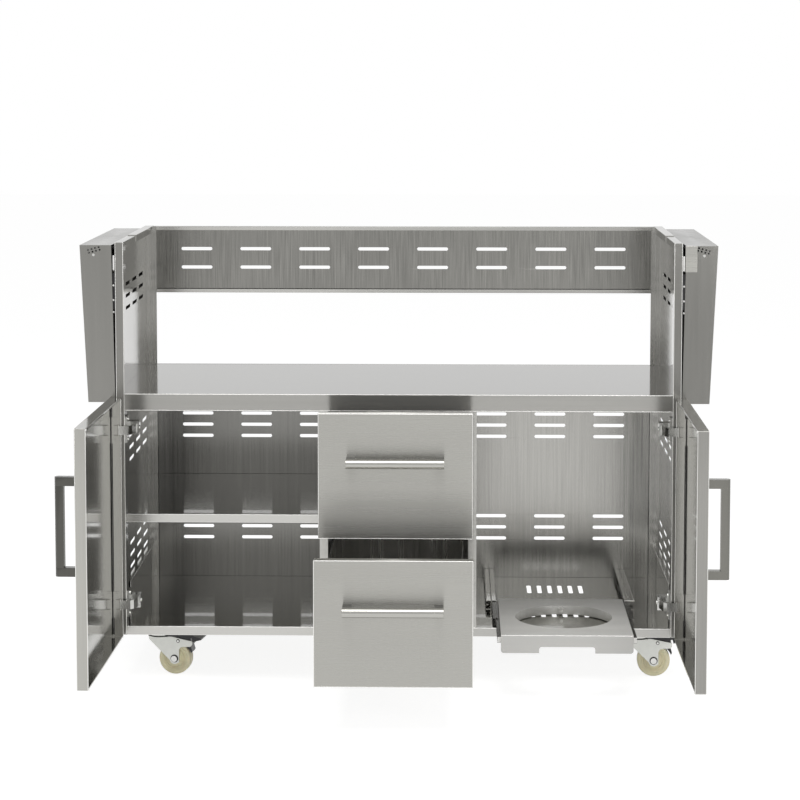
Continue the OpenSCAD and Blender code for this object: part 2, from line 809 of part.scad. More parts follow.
// Tray plate with its skirts, collar, notched front lip and clamp boss
module bottle_tray() {
    half = tray_w / 2;
    skirt = collar_h - 1;
    lip_h = tray_h - tray_lip_low;
    corner = 6;
    color(steel) translate([tray_x, 0, 0]) difference() {
        union() {
            translate([-half, tray_front, tray_h - tray_t]) cube([tray_w, tray_d, tray_t]);
            for (s = [-1, 1]) translate([s * (half - tray_t / 2) - tray_t / 2, tray_front, tray_h - skirt])
                cube([tray_t, tray_d, skirt]);
            translate([-half, tray_front + tray_d - tray_t, tray_h - skirt]) cube([tray_w, tray_t, skirt]);
            translate([0, tray_front + tray_t, 0]) rotate([90, 0, 0]) linear_extrude(tray_t) difference() {
                union() {
                    translate([-half, tray_lip_low + corner]) square([tray_w, lip_h - corner]);
                    translate([-half + corner, tray_lip_low]) square([tray_w - 2 * corner, lip_h]);
                    for (s = [-1, 1]) translate([s * (half - corner), tray_lip_low + corner])
                        circle(r = corner, $fn = 48);
                }
                translate([-notch_w / 2 + corner, tray_lip_low - 1]) square([notch_w - 2 * corner, notch_h + 1]);
                translate([-notch_w / 2, tray_lip_low - 1]) square([notch_w, notch_h + 1 - corner]);
                for (s = [-1, 1]) translate([s * (notch_w / 2 - corner), tray_lip_low + notch_h - corner])
                    circle(r = corner, $fn = 48);
            }
            translate([0, ring_y, tray_h - collar_h]) cylinder(d = ring_d + 2 * tray_t, h = collar_h, $fn = 180);
            translate([0, ring_y + ring_d / 2 + 5, clamp_z]) round_bar(6, 10);
        }
        translate([0, ring_y, tray_h - 2 * collar_h]) cylinder(d = ring_d, h = 3 * collar_h, $fn = 180);
        translate([0, ring_y + ring_d / 2 + 5, clamp_z]) round_bar(clamp_r + pin_gap, 20);
    }
    // Weld nut inside the collar
    color(steel) translate([tray_x, ring_y + ring_d / 2 - nut_l / 2 + 0.1, clamp_z]) difference() {
        rotate([0, 30, 0]) round_bar(7.5, nut_l, 6);
        round_bar(clamp_r + pin_gap, 2 * nut_l);
    }
}

// Screw through the weld nut with a knob behind the collar
module clamp_screw() {
    wall = ring_y + ring_d / 2;
    knob_y = wall + 10 + clamp_travel + 0.5;
    tip_y = wall - nut_l - 2;
    color(chrome) translate([tray_x, 0, clamp_z]) {
        translate([0, (tip_y + knob_y + 1) / 2, 0]) round_bar(clamp_r, knob_y + 1 - tip_y);
        translate([0, knob_y + 4, 0]) difference() {
            round_bar(8.5, 8);
            for (a = [0 : 45 : 315]) rotate([0, a, 0]) translate([10, 0, 0]) round_bar(3, 9, 24);
        }
    }
}

// Draws its children beside the tray, with X measured from each rail's bracket
module beside_tray() {
    for (s = [-1, 1]) translate([tray_x, 0, tray_slide_z]) sided(s)
        translate([tray_mount, 0, 0]) mirror([1, 0, 0]) children();
}

module tray_rails() {
    color(chrome) beside_tray()
        outer_member(tray_slide_t, tray_slide_h, sheet, tray_rail_y, tray_slide_l);
}

module tray_middle_slides() {
    color(chrome) beside_tray()
        middle_member(tray_slide_t, tray_slide_h, sheet, tray_middle_y, tray_slide_l);
}

module tray_slides() {
    color(chrome) beside_tray()
        inner_member(tray_slide_t, tray_slide_h, sheet, tray_slide_front, tray_slide_l);
}

// Channels that carry the tray's fixed rails on the floor
module tray_brackets() {
    h = tray_slide_h + 0.5;
    color(chrome) for (s = [-1, 1]) translate([tray_x, 0, 0]) sided(s) {
        translate([tray_mount, 0, floor_h + h / 2])
            slide_member(0, bracket_w, h, 1.5, tray_rail_y, tray_slide_l);
        for (y = [40, tray_slide_l - 40]) translate([tray_mount + bracket_w / 2 + 1, tray_rail_y + y, floor_h + 1.5])
            cylinder(r = 4, h = 2.5, $fn = 24);
    }
}

// Folding side shelf, drawn hanging: a deep pan whose open side faces the cart
module side_shelf(side) {
    y1 = wing_d;
    outline = [
        [wing_in, wing_top],
        [wing_out, wing_top],
        [wing_tip_out, wing_low],
        [wing_tip_in, wing_low]
    ];
    color(steel) sided(side) difference() {
        union() {
            for (y = [0, y1 - sheet]) along_y(y, y + sheet) polygon(outline);
            along_y(0, y1) polygon([
                [wing_out, wing_top],
                [wing_tip_out, wing_low],
                [wing_tip_out - sheet, wing_low],
                [wing_out - sheet, wing_top]
            ]);
            translate([wing_in, 0, wing_top - sheet]) cube([wing_t, y1, sheet]);
            translate([wing_tip_in, 0, wing_low]) cube([wing_tip_t, y1, sheet]);
            translate([wing_in, 0, wing_top - wing_lip]) cube([sheet, y1, wing_lip]);
            translate([wing_tip_in, 0, wing_low]) cube([sheet, y1, wing_lip]);
        }
        translate([wing_pivot[0], y1 / 2, wing_pivot[1]]) round_bar(wing_pin_d / 2 + pin_gap, y1 + 10);
        // Two plain rows of small holes through the end walls
        for (i = [0 : 3], j = [0, 1])
            translate([wing_pivot[0] - 12 + 8 * i - 2 * j, y1 / 2, wing_top - 4.5 - 2.2 * i - 6 * j])
                round_bar(2.2, y1 + 10, 24);
    }
}

// Bright plate over the inner top corner of the right shelf's front wall
module right_shelf_plate() {
    color(zinc) translate([wing_in - 2, -sheet, wing_top - corner_plate_h])
        cube([corner_plate_w, sheet, corner_plate_h]);
}

// Brackets on the side panels, each with a ledge that a raised shelf rests on
module wing_brackets() {
    t = wing_bracket_t;
    arm = 9;
    low = ledge_h - wing_bracket_h;
    color(black) for (side = [-1, 1], back = [0, 1]) sided(side) {
        y = back == 0 ? wing_bracket_y : wing_d - wing_bracket_y - t;
        flange_y = back == 0 ? y : y - wing_bracket_w + t;
        difference() {
            union() {
                along_y(y, y + t) polygon([
                    [half_w, low],
                    [half_w, ledge_h],
                    [wing_pivot[0] - arm, ledge_h],
                    [wing_pivot[0] - arm, wing_pivot[1]],
                    [wing_pivot[0] + arm, wing_pivot[1]],
                    [wing_pivot[0] + arm, ledge_h - 10],
                    [half_w + 12, low]
                ]);
                translate([wing_pivot[0], y + t / 2, wing_pivot[1]]) round_bar(arm, t);
                translate([half_w, flange_y, low]) cube([t, wing_bracket_w, wing_bracket_h]);
                for (z = [low + 15, ledge_h - 15]) translate([half_w + t + 1.2, flange_y + wing_bracket_w / 2, z])
                    rotate([0, 90, 0]) cylinder(r = 6, h = 2.4, center = true, $fn = 6);
            }
            translate([wing_pivot[0], y + t / 2, wing_pivot[1]]) round_bar(wing_pin_d / 2 + pin_gap, 3 * t);
        }
    }
}

// Pins through the shelf's end walls and the brackets, flush with the walls
module wing_pins() {
    l = wing_bracket_y + wing_bracket_t;
    color(chrome) for (side = [-1, 1], back = [0, 1]) sided(side)
        translate([wing_pivot[0], back * wing_d, wing_pivot[1]]) rotate([0, 0, back * 180])
            translate([0, l / 2, 0]) round_bar(wing_pin_d / 2, l);
}

// Places of the casters: side, distance from the front plane and turn
caster_places = [
    [-1, caster_y, left_swivel],
    [1, caster_y, right_swivel],
    [-1, cart_d - caster_y, 0],
    [1, cart_d - caster_y, 0]
];

module at_caster(i) {
    p = caster_places[i];
    translate([p[0] * caster_x, p[1], 0]) rotate(p[2]) children();
}

// Top plates with their bearing cups and king pins
module caster_plates() {
    plate = [92, 68];
    color(zinc) for (p = caster_places) translate([p[0] * caster_x, p[1], 0]) {
        translate([-plate[0] / 2, -plate[1] / 2, base_h - plate_t]) cube([plate[0], plate[1], plate_t]);
        translate([0, 0, fork_top + 0.6]) cylinder(r = fork_r - 5, h = race_h - 0.6, $fn = 64);
        translate([0, 0, fork_top + 2.5]) cylinder(r1 = fork_r - 0.5, r2 = fork_r - 4, h = race_h - 2.5, $fn = 96);
        translate([0, 0, fork_top - 9]) cylinder(r = king_r, h = 12, $fn = 48);
        translate([0, 0, fork_top - 9]) cylinder(r = 8, h = 4.5, $fn = 48);
        for (x = [-1, 1], y = [-1, 1]) translate([x * 36, y * 25, base_h - plate_t - 4])
            cylinder(r = 5, h = 4, $fn = 6);
    }
}

function braked(i) = i < 2;

brake_x = trail + 9;
brake_h = axle_h + 41.5;
brake_r = 2.5;

// Pressed steel fork: a dished top and two cut-out legs
module fork(i) {
    ear = braked(i) ? [
        [trail + 14, axle_h + 26],
        [trail + 20, axle_h + 28],
        [trail + 38, axle_h + 29],
        [trail + 42, axle_h + 33],
        [trail + 42, fork_top - 10]
    ] : [[trail + 11, fork_top - 6]];
    color(zinc) at_caster(i) difference() {
        union() {
            translate([0, 0, fork_top - 3]) cylinder(r = fork_r, h = 3, $fn = 96);
            for (s = [-1, 1]) along_y(s * (leg_in + leg_t / 2) - leg_t / 2, s * (leg_in + leg_t / 2) + leg_t / 2)
                difference() {
                    union() {
                        polygon(concat([
                            [26, fork_top],
                            [-24, fork_top],
                            [-24, fork_top - 8],
                            [trail - 6, axle_h - 9],
                            [trail + 11, axle_h - 9],
                            [trail + 11, axle_h + 20]
                        ], ear));
                        translate([trail, axle_h - 2]) circle(r = 11, $fn = 48);
                    }
                    translate([trail, axle_h]) circle(r = axle_r + 0.02, $fn = 48);
                }
        }
        translate([0, 0, fork_top - 4]) cylinder(r = king_r + pin_gap, h = 8, $fn = 48);
        if (braked(i)) translate([brake_x, 0, brake_h]) round_bar(brake_r + pin_gap, 3 * wheel_w);
    }
}

// Nylon wheel turned with a rounded tread, a web and a hub
module wheel(i) {
    r = wheel_d / 2;
    w = wheel_w / 2;
    groove = 3;
    color(nylon) at_caster(i) translate([trail, 0, axle_h]) rotate([90, 0, 0]) rotate_extrude($fn = 96)
        difference() {
            union() {
                translate([axle_r + pin_gap, -w]) square([r - axle_r - pin_gap - 4, 2 * w]);
                translate([axle_r + pin_gap, -w + 4]) square([r - axle_r - pin_gap, 2 * w - 8]);
                for (s = [-1, 1]) translate([r - 4, s * (w - 4)]) circle(r = 4, $fn = 32);
                for (s = [-1, 1]) translate([axle_r + pin_gap, s * (w + 0.8) - 0.8]) square([6, 1.6]);
            }
            for (s = [-1, 1]) translate([15, s * w - groove / 2]) square([11, groove]);
        }
}

// Axle bolt with a round head and a nut outside the legs
module axle(i) {
    outer = leg_in + leg_t;
    color(chrome) at_caster(i) translate([trail, 0, axle_h]) {
        round_bar(axle_r, 2 * outer + 6);
        translate([0, -outer - 2, 0]) round_bar(7, 4);
        translate([0, outer + 2.5, 0]) round_bar(7, 5, 6);
    }
}

// Foot brake: a pin, a shoe between the legs and a pedal over the fork
module brake(i) {
    core = leg_in - 0.5;
    pedal = 25;
    tip = trail + 66;
    color(black) at_caster(i) {
        translate([brake_x, 0, brake_h]) round_bar(brake_r, 2 * (leg_in + leg_t) + 3);
        difference() {
            union() {
                along_y(-core, core) difference() {
                    polygon([
                        [brake_x - 5, fork_top + 2],
                        [brake_x - 5, brake_h - 5],
                        [trail + 34, axle_h + 15],
                        [trail + 40, axle_h + 14],
                        [trail + 42, axle_h + 18],
                        [trail + 38.5, axle_h + 30],
                        [trail + 38.5, fork_top - 3],
                        [tip, fork_top - 4],
                        [tip, fork_top - 1],
                        [trail + 40, fork_top + 6]
                    ]);
                    // The wheel as the lever sees it while it turns down
                    for (a = [0 : 2 : brake_turn]) translate([brake_x, brake_h]) rotate(a)
                        translate([trail - brake_x, axle_h - brake_h]) circle(r = wheel_d / 2 + 0.4, $fn = 96);
                }
                along_y(-pedal, pedal) polygon([
                    [17, fork_top + 1.3],
                    [trail + 43.5, fork_top + 1.3],
                    [trail + 44.5, fork_top - 9],
                    [trail + 50, fork_top - 8],
                    [tip, fork_top - 4],
                    [tip, fork_top - 1],
                    [trail + 44, fork_top + 6],
                    [30, fork_top + 8],
                    [17, fork_top + 5]
                ]);
            }
            translate([0, 0, fork_top - 5]) cylinder(r = fork_r + 1, h = 20, $fn = 96);
        }
    }
}

// Pan head screws that hold the back panels to the flanges of the side panels
module panel_screws() {
    y = back_y + sheet;
    color(chrome) for (side = [-1, 1]) sided(side)
        for (z = [base_h + 40, (base_h + deck_h) / 2, deck_h - 40, upper_back_h + 30, cart_h - 30])
            translate([half_w - back_flange_w / 2, y + 1.2, z]) {
                round_bar(4.5, 2.4, 32);
            }
}

placed() {
    side_panel(-1);  // left_side_panel
    side_panel(1);  // right_side_panel
    upper_back_panel();
    lower_back_panel();
    deck();
    floor_pan();
    partition(-1);  // left_partition
    partition(1);  // right_partition
    mid_shelf();
    shelf_supports();
    base_rails();
    rim_caps();
    drawer_rails(1);  // upper_drawer_rails
    drawer_rails(0);  // lower_drawer_rails
    tray_brackets();
    tray_rails();
    door_hinge_arms();
    wing_brackets();
    wing_pins();
    caster_plates();
    panel_screws();
    door(-1);  // left_door
    door_handle(-1);  // left_door_handle
    door_hinge_cups(-1);  // left_door_hinge_cups
    door_bumpers(-1);  // left_door_bumpers
    door(1);  // right_door
    door_handle(1);  // right_door_handle
    door_hinge_cups(1);  // right_door_hinge_cups
    door_bumpers(1);  // right_door_bumpers
    drawer_front(1);  // upper_drawer_front
    drawer_box(1);  // upper_drawer_box
    drawer_handle(1);  // upper_drawer_handle
    drawer_inner_slides(1);  // upper_drawer_slides
    drawer_middle_slides(1);  // upper_middle_slides
    drawer_front(0);  // lower_drawer_front
    drawer_box(0);  // lower_drawer_box
    drawer_handle(0);  // lower_drawer_handle
    drawer_inner_slides(0);  // lower_drawer_slides
    drawer_middle_slides(0);  // lower_middle_slides
    bottle_tray();
    tray_slides();
    tray_middle_slides();
    clamp_screw();
    side_shelf(-1);  // left_side_shelf
    side_shelf(1);  // right_side_shelf
    right_shelf_plate();
    fork(0);  // front_left_fork
    wheel(0);  // front_left_wheel
    axle(0);  // front_left_axle
    brake(0);  // front_left_brake
    fork(1);  // front_right_fork
    wheel(1);  // front_right_wheel
    axle(1);  // front_right_axle
    brake(1);  // front_right_brake
    fork(2);  // back_left_fork
    wheel(2);  // back_left_wheel
    axle(2);  // back_left_axle
    fork(3);  // back_right_fork
    wheel(3);  // back_right_wheel
    axle(3);  // back_right_axle
}
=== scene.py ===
"""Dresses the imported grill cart.

It adds folded edges, handles, slide and caster details, gives every part its finish, and puts the cart
into a white studio under the camera of the photograph.
"""
import json
import math

import bmesh
import bpy
from bpy.props import FloatProperty, PointerProperty, StringProperty
from mathutils import Matrix, Vector


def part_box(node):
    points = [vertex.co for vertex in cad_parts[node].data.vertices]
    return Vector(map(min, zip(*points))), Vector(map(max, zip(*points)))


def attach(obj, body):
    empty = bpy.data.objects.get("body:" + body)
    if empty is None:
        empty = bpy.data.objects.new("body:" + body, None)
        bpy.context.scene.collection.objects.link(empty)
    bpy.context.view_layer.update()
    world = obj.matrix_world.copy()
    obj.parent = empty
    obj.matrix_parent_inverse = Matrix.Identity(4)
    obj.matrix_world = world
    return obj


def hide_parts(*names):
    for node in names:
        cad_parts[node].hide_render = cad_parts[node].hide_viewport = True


bl_info = {
    "name": "Grill cart finish",
    "version": (1, 0, 0),
    "blender": (4, 5, 0),
    "location": "View3D > Sidebar > Grill cart",
    "description": "Rolled sheet edges, fittings, finishes and a studio for a stainless grill cart",
    "category": "Object",
}

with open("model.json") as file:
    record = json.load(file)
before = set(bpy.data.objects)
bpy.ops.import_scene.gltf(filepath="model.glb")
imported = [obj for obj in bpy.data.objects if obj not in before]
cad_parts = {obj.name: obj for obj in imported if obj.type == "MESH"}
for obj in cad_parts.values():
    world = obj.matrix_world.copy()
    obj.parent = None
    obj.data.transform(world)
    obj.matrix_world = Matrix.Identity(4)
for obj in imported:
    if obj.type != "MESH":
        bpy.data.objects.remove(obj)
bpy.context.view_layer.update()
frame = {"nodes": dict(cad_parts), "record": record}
NODES = frame["nodes"]
JOINTS = {j["name"]: j for j in frame["record"]["behaviour"]["joints"]}

# The frame's middle lies behind the front plane of the posts by this much
FRONT_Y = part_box("deck")[0].y

# Axes of a brushed grain
ACROSS, DEPTH, UP = 0, 1, 2

CASTERS = ("front_left", "front_right", "back_left", "back_right")

# Sizes of the cart that several steps use, in millimetres
LIP_END_X = 615.9  # ends of the front lips, inside the posts
FOLD_END_X = 615.0  # ends of the folds along those lips
MID_SHELF_END_X = -177.6  # the middle shelf's end at the partition
FLOOR_LIP_Z = (108.5, 127.5)
MID_LIP_Z = (368.0, 385.5)
RAIL_Z = (623.5, 658.6)
DOOR_PIVOT = (629.5, -7.5)
DOOR_OPEN = {"left": 91, "right": 90}  # degrees

# Materials by key, filled in by the finishes step
MADE = {}


# Colours and nodes


def linear(code):
    """An sRGB hex colour as linear RGBA."""
    parts = [int(code[i : i + 2], 16) / 255 for i in (0, 2, 4)]
    return [c / 12.92 if c <= 0.04045 else ((c + 0.055) / 1.055) ** 2.4 for c in parts] + [1.0]


def shaded(colour, factor):
    """A linear colour made darker or lighter by a factor."""
    return [min(1.0, c * factor) for c in colour[:3]] + [1.0]


def grey(level):
    return (level, level, level, 1.0)


def cleared(owner):
    """The node tree of a material or world, switched on and emptied."""
    owner.use_nodes = True
    owner.node_tree.nodes.clear()
    return owner.node_tree


def add(tree, kind, values=None, links=None, stops=(), **settings):
    """One shader node with its settings, socket values, links into its inputs and ramp stops.

    A link comes from an output, or from a node, which then gives its first output.
    """
    n = tree.nodes.new(kind)
    for key, value in settings.items():
        setattr(n, key, value)
    for key, value in (values or {}).items():
        n.inputs[key].default_value = value
    for key, source in (links or {}).items():
        output = source.outputs[0] if isinstance(source, bpy.types.Node) else source
        tree.links.new(output, n.inputs[key])
    for i, (place, tone) in enumerate(stops):
        if i > 1:
            n.color_ramp.elements.new(place)
        n.color_ramp.elements[i].position = place
        n.color_ramp.elements[i].color = tone
    return n


def new_material(name):
    """An empty material, its node tree and the place on the object that its textures read."""
    m = bpy.data.materials.new(name)
    tree = cleared(m)
    return m, tree, add(tree, "ShaderNodeTexCoord").outputs["Object"]


# Painted light and shade: factors on a finish's colour by a place in metres of the frame or a face's turn


def fade_along(tree, vector, axis, start, end, low, high):
    """Goes from low to high while a place or a direction goes from start to end along an axis."""
    way = add(tree, "ShaderNodeSeparateXYZ", links={0: vector}).outputs[axis]
    span = {"From Min": start, "From Max": end, "To Min": low, "To Max": high}
    return add(tree, "ShaderNodeMapRange", span, {"Value": way})


def painted_left_shade(tree, place):
    """Painted shade that darkens the left half of the cart."""
    return fade_along(tree, place, "X", -0.2, 0.2, 0.55, 1.0)


def painted_right_shade(tree, place):
    """Painted shade that darkens the right half a little."""
    return fade_along(tree, place, "X", -0.2, 0.3, 1.0, 0.8)


def painted_front_zone_light(tree, place):
    """Painted light that lightens the floor and shelf near the front."""
    return fade_along(tree, place, "Y", -0.03, 0.2, 1.5, 1.0)


def painted_bay_shade(tree, place):
    """Painted shade on the side panels' inner faces below the deck."""
    deck_underside = 0.622
    point = add(tree, "ShaderNodeSeparateXYZ", links={0: place}).outputs
    normal = add(tree, "ShaderNodeTexCoord").outputs["Normal"]
    sideways = add(tree, "ShaderNodeSeparateXYZ", links={0: normal}).outputs["X"]
    # On an inner face the normal points back across the cart
    outward = add(tree, "ShaderNodeMath", links={0: sideways, 1: point["X"]}, operation="MULTIPLY")
    inward = add(tree, "ShaderNodeMath", {1: -0.08}, {0: outward}, operation="LESS_THAN")
    below = add(tree, "ShaderNodeMath", {1: deck_underside}, {0: point["Z"]}, operation="LESS_THAN")
    both = add(tree, "ShaderNodeMath", links={0: inward, 1: below}, operation="MULTIPLY")
    return add(tree, "ShaderNodeMapRange", {"To Min": 1.0, "To Max": 0.38}, {"Value": both})


def painted_front_shade_and_highlight(tree, place):
    """Painted shade on the upper drawer's front towards its lower edge, and a painted highlight on the tops
    of both fronts.
    """
    lower_front_top = 0.37
    fade = fade_along(tree, place, "Z", 0.39, 0.49, 0.66, 1.0)
    height = add(tree, "ShaderNodeSeparateXYZ", links={0: place}).outputs["Z"]
    lower = add(tree, "ShaderNodeMath", {1: lower_front_top}, {0: height}, operation="LESS_THAN")
    fade = add(tree, "ShaderNodeMath", links={0: fade, 1: lower}, operation="MAXIMUM")
    # A painted highlight makes the tops show as a white line
    top = fade_along(tree, add(tree, "ShaderNodeTexCoord").outputs["Normal"], "Z", 0.6, 0.9, 1.0, 2.2)
    return add(tree, "ShaderNodeMath", links={0: fade, 1: top}, operation="MULTIPLY")


def painted_post_shade(tree, place):
    """Painted shade on the tops of the drawer handles' posts, behind the bar."""
    post_middles, half_depth = (-0.2915, -0.4745), 0.0148
    depth = add(tree, "ShaderNodeSeparateXYZ", links={0: place}).outputs["Y"]
    upper, lower = (
        add(tree, "ShaderNodeMath", {1: middle, 2: half_depth}, {0: depth}, operation="COMPARE")
        for middle in post_middles
    )
    post = add(tree, "ShaderNodeMath", links={0: upper, 1: lower}, operation="ADD")
    normal = add(tree, "ShaderNodeTexCoord").outputs["Normal"]
    upward = add(tree, "ShaderNodeSeparateXYZ", links={0: normal}).outputs["Z"]
    top = add(tree, "ShaderNodeMath", {1: 0.8}, {0: upward}, operation="GREATER_THAN")
    both = add(tree, "ShaderNodeMath", links={0: post, 1: top}, operation="MULTIPLY")
    return add(tree, "ShaderNodeMapRange", {"To Min": 1.0, "To Max": 0.3}, {"Value": both})


def painted_tray_shade(tree, place):
    """Painted shade that dims the tray's faces turned to the front."""
    return fade_along(tree, add(tree, "ShaderNodeTexCoord").outputs["Normal"], "Y", -0.9, -0.3, 0.63, 1.0)


# Kinds of finish


def brushed(
    name, code, grain, band_mm, line_mm, roughness, contrast, lift,
    stretch=0.0, around="Z", shade=None, metallic=1.0, film=0.0,
):
    """Stainless sheet, scratched along one axis by an abrasive belt: soft bands, fine lines and a bump.

    grain is the axis of the scratches. band_mm is the width of the soft bands that the belt leaves,
    and line_mm the width of a scratch, drawn coarser than the real tenth of a millimetre so that it shows.
    stretch spreads reflections across the scratches, as the real grooves do, with tangents that run
    around an axis: Z keeps them level on upright sheets, and Y keeps them along the cart on flat ones.
    shade is a factor on the colour that paints light and shade into it, and film the strength of a thin
    film of rolling oil over the grooves, which mirrors as sharp lines what the grooves smear.
    """
    m, tree, place = new_material(name)

    def stretched(width_mm, length_mm, detail, rough):
        across, along = 1000.0 / width_mm, 1000.0 / length_mm
        scale = [along if axis == grain else across for axis in range(3)]
        turned = add(tree, "ShaderNodeMapping", {"Scale": scale}, {"Vector": place})
        values = {"Scale": 1.0, "Detail": detail, "Roughness": rough}
        return add(tree, "ShaderNodeTexNoise", values, {"Vector": turned})

    bands = stretched(band_mm, band_mm * 40, 3.0, 0.6)
    lines = stretched(line_mm, line_mm * 120, 2.0, 0.7)
    cloud = stretched(180.0, 260.0, 2.0, 0.5)
    mixed = add(tree, "ShaderNodeMath", {1: 0.5}, {0: bands}, operation="MULTIPLY")
    for share, pattern in ((0.35, lines), (0.15, cloud)):
        mixed = add(tree, "ShaderNodeMath", {1: share}, {0: pattern, 2: mixed}, operation="MULTIPLY_ADD")
    base = linear(code)
    stops = ((0.36, shaded(base, 1 - contrast)), (0.5, base), (0.64, shaded(base, 1 + contrast)))
    colour = add(tree, "ShaderNodeValToRGB", links={"Fac": mixed}, stops=stops)
    if shade:
        links = {0: colour, "Scale": shade(tree, place)}
        colour = add(tree, "ShaderNodeVectorMath", links=links, operation="SCALE")
    span = {"From Min": 0.35, "From Max": 0.65, "To Min": roughness * 0.8, "To Max": roughness * 1.2}
    rough = add(tree, "ShaderNodeMapRange", span, {"Value": mixed})
    bump = add(tree, "ShaderNodeBump", {"Strength": lift, "Distance": 0.00015}, {"Height": lines})
    values = {"Metallic": metallic}
    links = {"Base Color": colour, "Roughness": rough, "Normal": bump}
    if stretch:
        values.update({"Anisotropic": stretch, "Anisotropic Rotation": 0.0 if grain == UP else 0.25})
        links["Tangent"] = add(tree, "ShaderNodeTangent", direction_type="RADIAL", axis=around)
    if film:
        values.update({"Coat Weight": film, "Coat Roughness": 0.03})
    shader = add(tree, "ShaderNodeBsdfPrincipled", values, links)
    add(tree, "ShaderNodeOutputMaterial", links={"Surface": shader})
    return m


def plated(name, code, roughness, contrast=0.08):
    """Plated pressed steel: bright, with faint clouds from the bath and a slight orange peel."""
    m, tree, place = new_material(name)
    # Clouds about 17 mm across and a peel of 1.4 mm
    cloud = add(tree, "ShaderNodeTexNoise", {"Scale": 60.0, "Detail": 4.0}, {"Vector": place})
    peel = add(tree, "ShaderNodeTexNoise", {"Scale": 700.0, "Detail": 2.0}, {"Vector": place})
    base = linear(code)
    stops = ((0.35, shaded(base, 1 - contrast)), (0.65, base))
    colour = add(tree, "ShaderNodeValToRGB", links={"Fac": cloud}, stops=stops)
    span = {"To Min": roughness * 0.8, "To Max": roughness * 1.25}
    rough = add(tree, "ShaderNodeMapRange", span, {"Value": cloud})
    bump = add(tree, "ShaderNodeBump", {"Strength": 0.08, "Distance": 0.0002}, {"Height": peel})
    links = {"Base Color": colour, "Roughness": rough, "Normal": bump}
    shader = add(tree, "ShaderNodeBsdfPrincipled", {"Metallic": 1.0}, links)
    add(tree, "ShaderNodeOutputMaterial", links={"Surface": shader})
    return m


def moulded(name, code, roughness, grit_bump, ior=1.5, subsurface=0.0):
    """Moulded plastic, rubber or paint: an even colour with flow clouds and a fine texture."""
    m, tree, place = new_material(name)
    # Clouds about 22 mm across and a grit of 0.7 mm
    cloud = add(tree, "ShaderNodeTexNoise", {"Scale": 45.0, "Detail": 3.0}, {"Vector": place})
    grit = add(tree, "ShaderNodeTexNoise", {"Scale": 1400.0, "Detail": 2.0}, {"Vector": place})
    base = linear(code)
    stops = ((0.3, shaded(base, 0.86)), (0.7, base))
    colour = add(tree, "ShaderNodeValToRGB", links={"Fac": cloud}, stops=stops)
    bump = add(tree, "ShaderNodeBump", {"Strength": grit_bump, "Distance": 0.0002}, {"Height": grit})
    values = {"Roughness": roughness, "IOR": ior, "Subsurface Weight": subsurface}
    shader = add(tree, "ShaderNodeBsdfPrincipled", values, {"Base Color": colour, "Normal": bump})
    add(tree, "ShaderNodeOutputMaterial", links={"Surface": shader})
    return m


# Modelling helpers


def start():
    """Leaves edit mode with nothing selected."""
    if bpy.context.object and bpy.context.object.mode != "OBJECT":
        bpy.ops.object.mode_set(mode="OBJECT")
    bpy.ops.object.select_all(action="DESELECT")


def block(name, lo, hi):
    """A box between two corners, with its origin at the world's origin."""
    start()
    lo, hi = Vector(lo), Vector(hi)
    bpy.ops.mesh.primitive_cube_add(size=1, location=(lo + hi) / 2)
    piece = bpy.context.object
    piece.name = piece.data.name = name
    piece.scale = hi - lo
    bpy.ops.object.transform_apply(location=True, rotation=True, scale=True)
    return piece


def rod(name, centre, axis, radius, length, sides=32):
    """A cylinder about a centre, with its origin at the world's origin."""
    start()
    bpy.ops.mesh.primitive_cylinder_add(vertices=sides, radius=radius, depth=length, location=centre)
    piece = bpy.context.object
    piece.name = piece.data.name = name
    piece.rotation_mode = "QUATERNION"
    piece.rotation_quaternion = Vector((0, 0, 1)).rotation_difference(Vector(axis))
    bpy.ops.object.transform_apply(location=True, rotation=True, scale=True)
    return piece


def pick_edges(piece, test):
    """Goes into edit mode on a piece and selects the edges whose middle and direction pass a test."""
    start()
    bpy.context.view_layer.objects.active = piece
    piece.select_set(True)
    bpy.ops.object.mode_set(mode="EDIT")
    bpy.ops.mesh.select_all(action="DESELECT")
    bm = bmesh.from_edit_mesh(piece.data)
    bpy.context.tool_settings.mesh_select_mode = (False, True, False)
    found = 0
    for e in bm.edges:
        a, b = e.verts[0].co, e.verts[1].co
        if test((a + b) / 2, (b - a).normalized()):
            e.select_set(True)
            found += 1
    bm.select_flush_mode()
    bmesh.update_edit_mesh(piece.data)
    if not found:
        raise RuntimeError("nothing to shape on " + piece.name)


def apply(piece, kind, **settings):
    """Adds a modifier and applies it."""
    start()
    bpy.context.view_layer.objects.active = piece
    piece.select_set(True)
    mod = piece.modifiers.new(kind.title(), kind)
    for key, value in settings.items():
        setattr(mod, key, value)
    bpy.ops.object.modifier_apply(modifier=mod.name)


def bevel(piece, width, segments=2, **settings):
    apply(piece, "BEVEL", width=width, segments=segments, **settings)


def smooth(piece, degrees=35):
    """Smooth shading between the sharp edges, with flat normals on large faces beside rounded edges."""
    start()
    bpy.context.view_layer.objects.active = piece
    piece.select_set(True)
    bpy.ops.object.shade_smooth_by_angle(angle=math.radians(degrees))
    apply(piece, "WEIGHTED_NORMAL", keep_sharp=True)


def rehang(piece, matrix):
    """Moves a piece's mesh by a matrix and keeps its origin at the world's origin."""
    start()
    bpy.context.view_layer.objects.active = piece
    piece.select_set(True)
    piece.matrix_world = matrix @ piece.matrix_world
    bpy.ops.object.transform_apply(location=True, rotation=True, scale=True)
    if matrix.determinant() < 0:
        bpy.ops.object.mode_set(mode="EDIT")
        bpy.ops.mesh.select_all(action="SELECT")
        bpy.ops.mesh.normals_make_consistent(inside=False)
        bpy.ops.object.mode_set(mode="OBJECT")


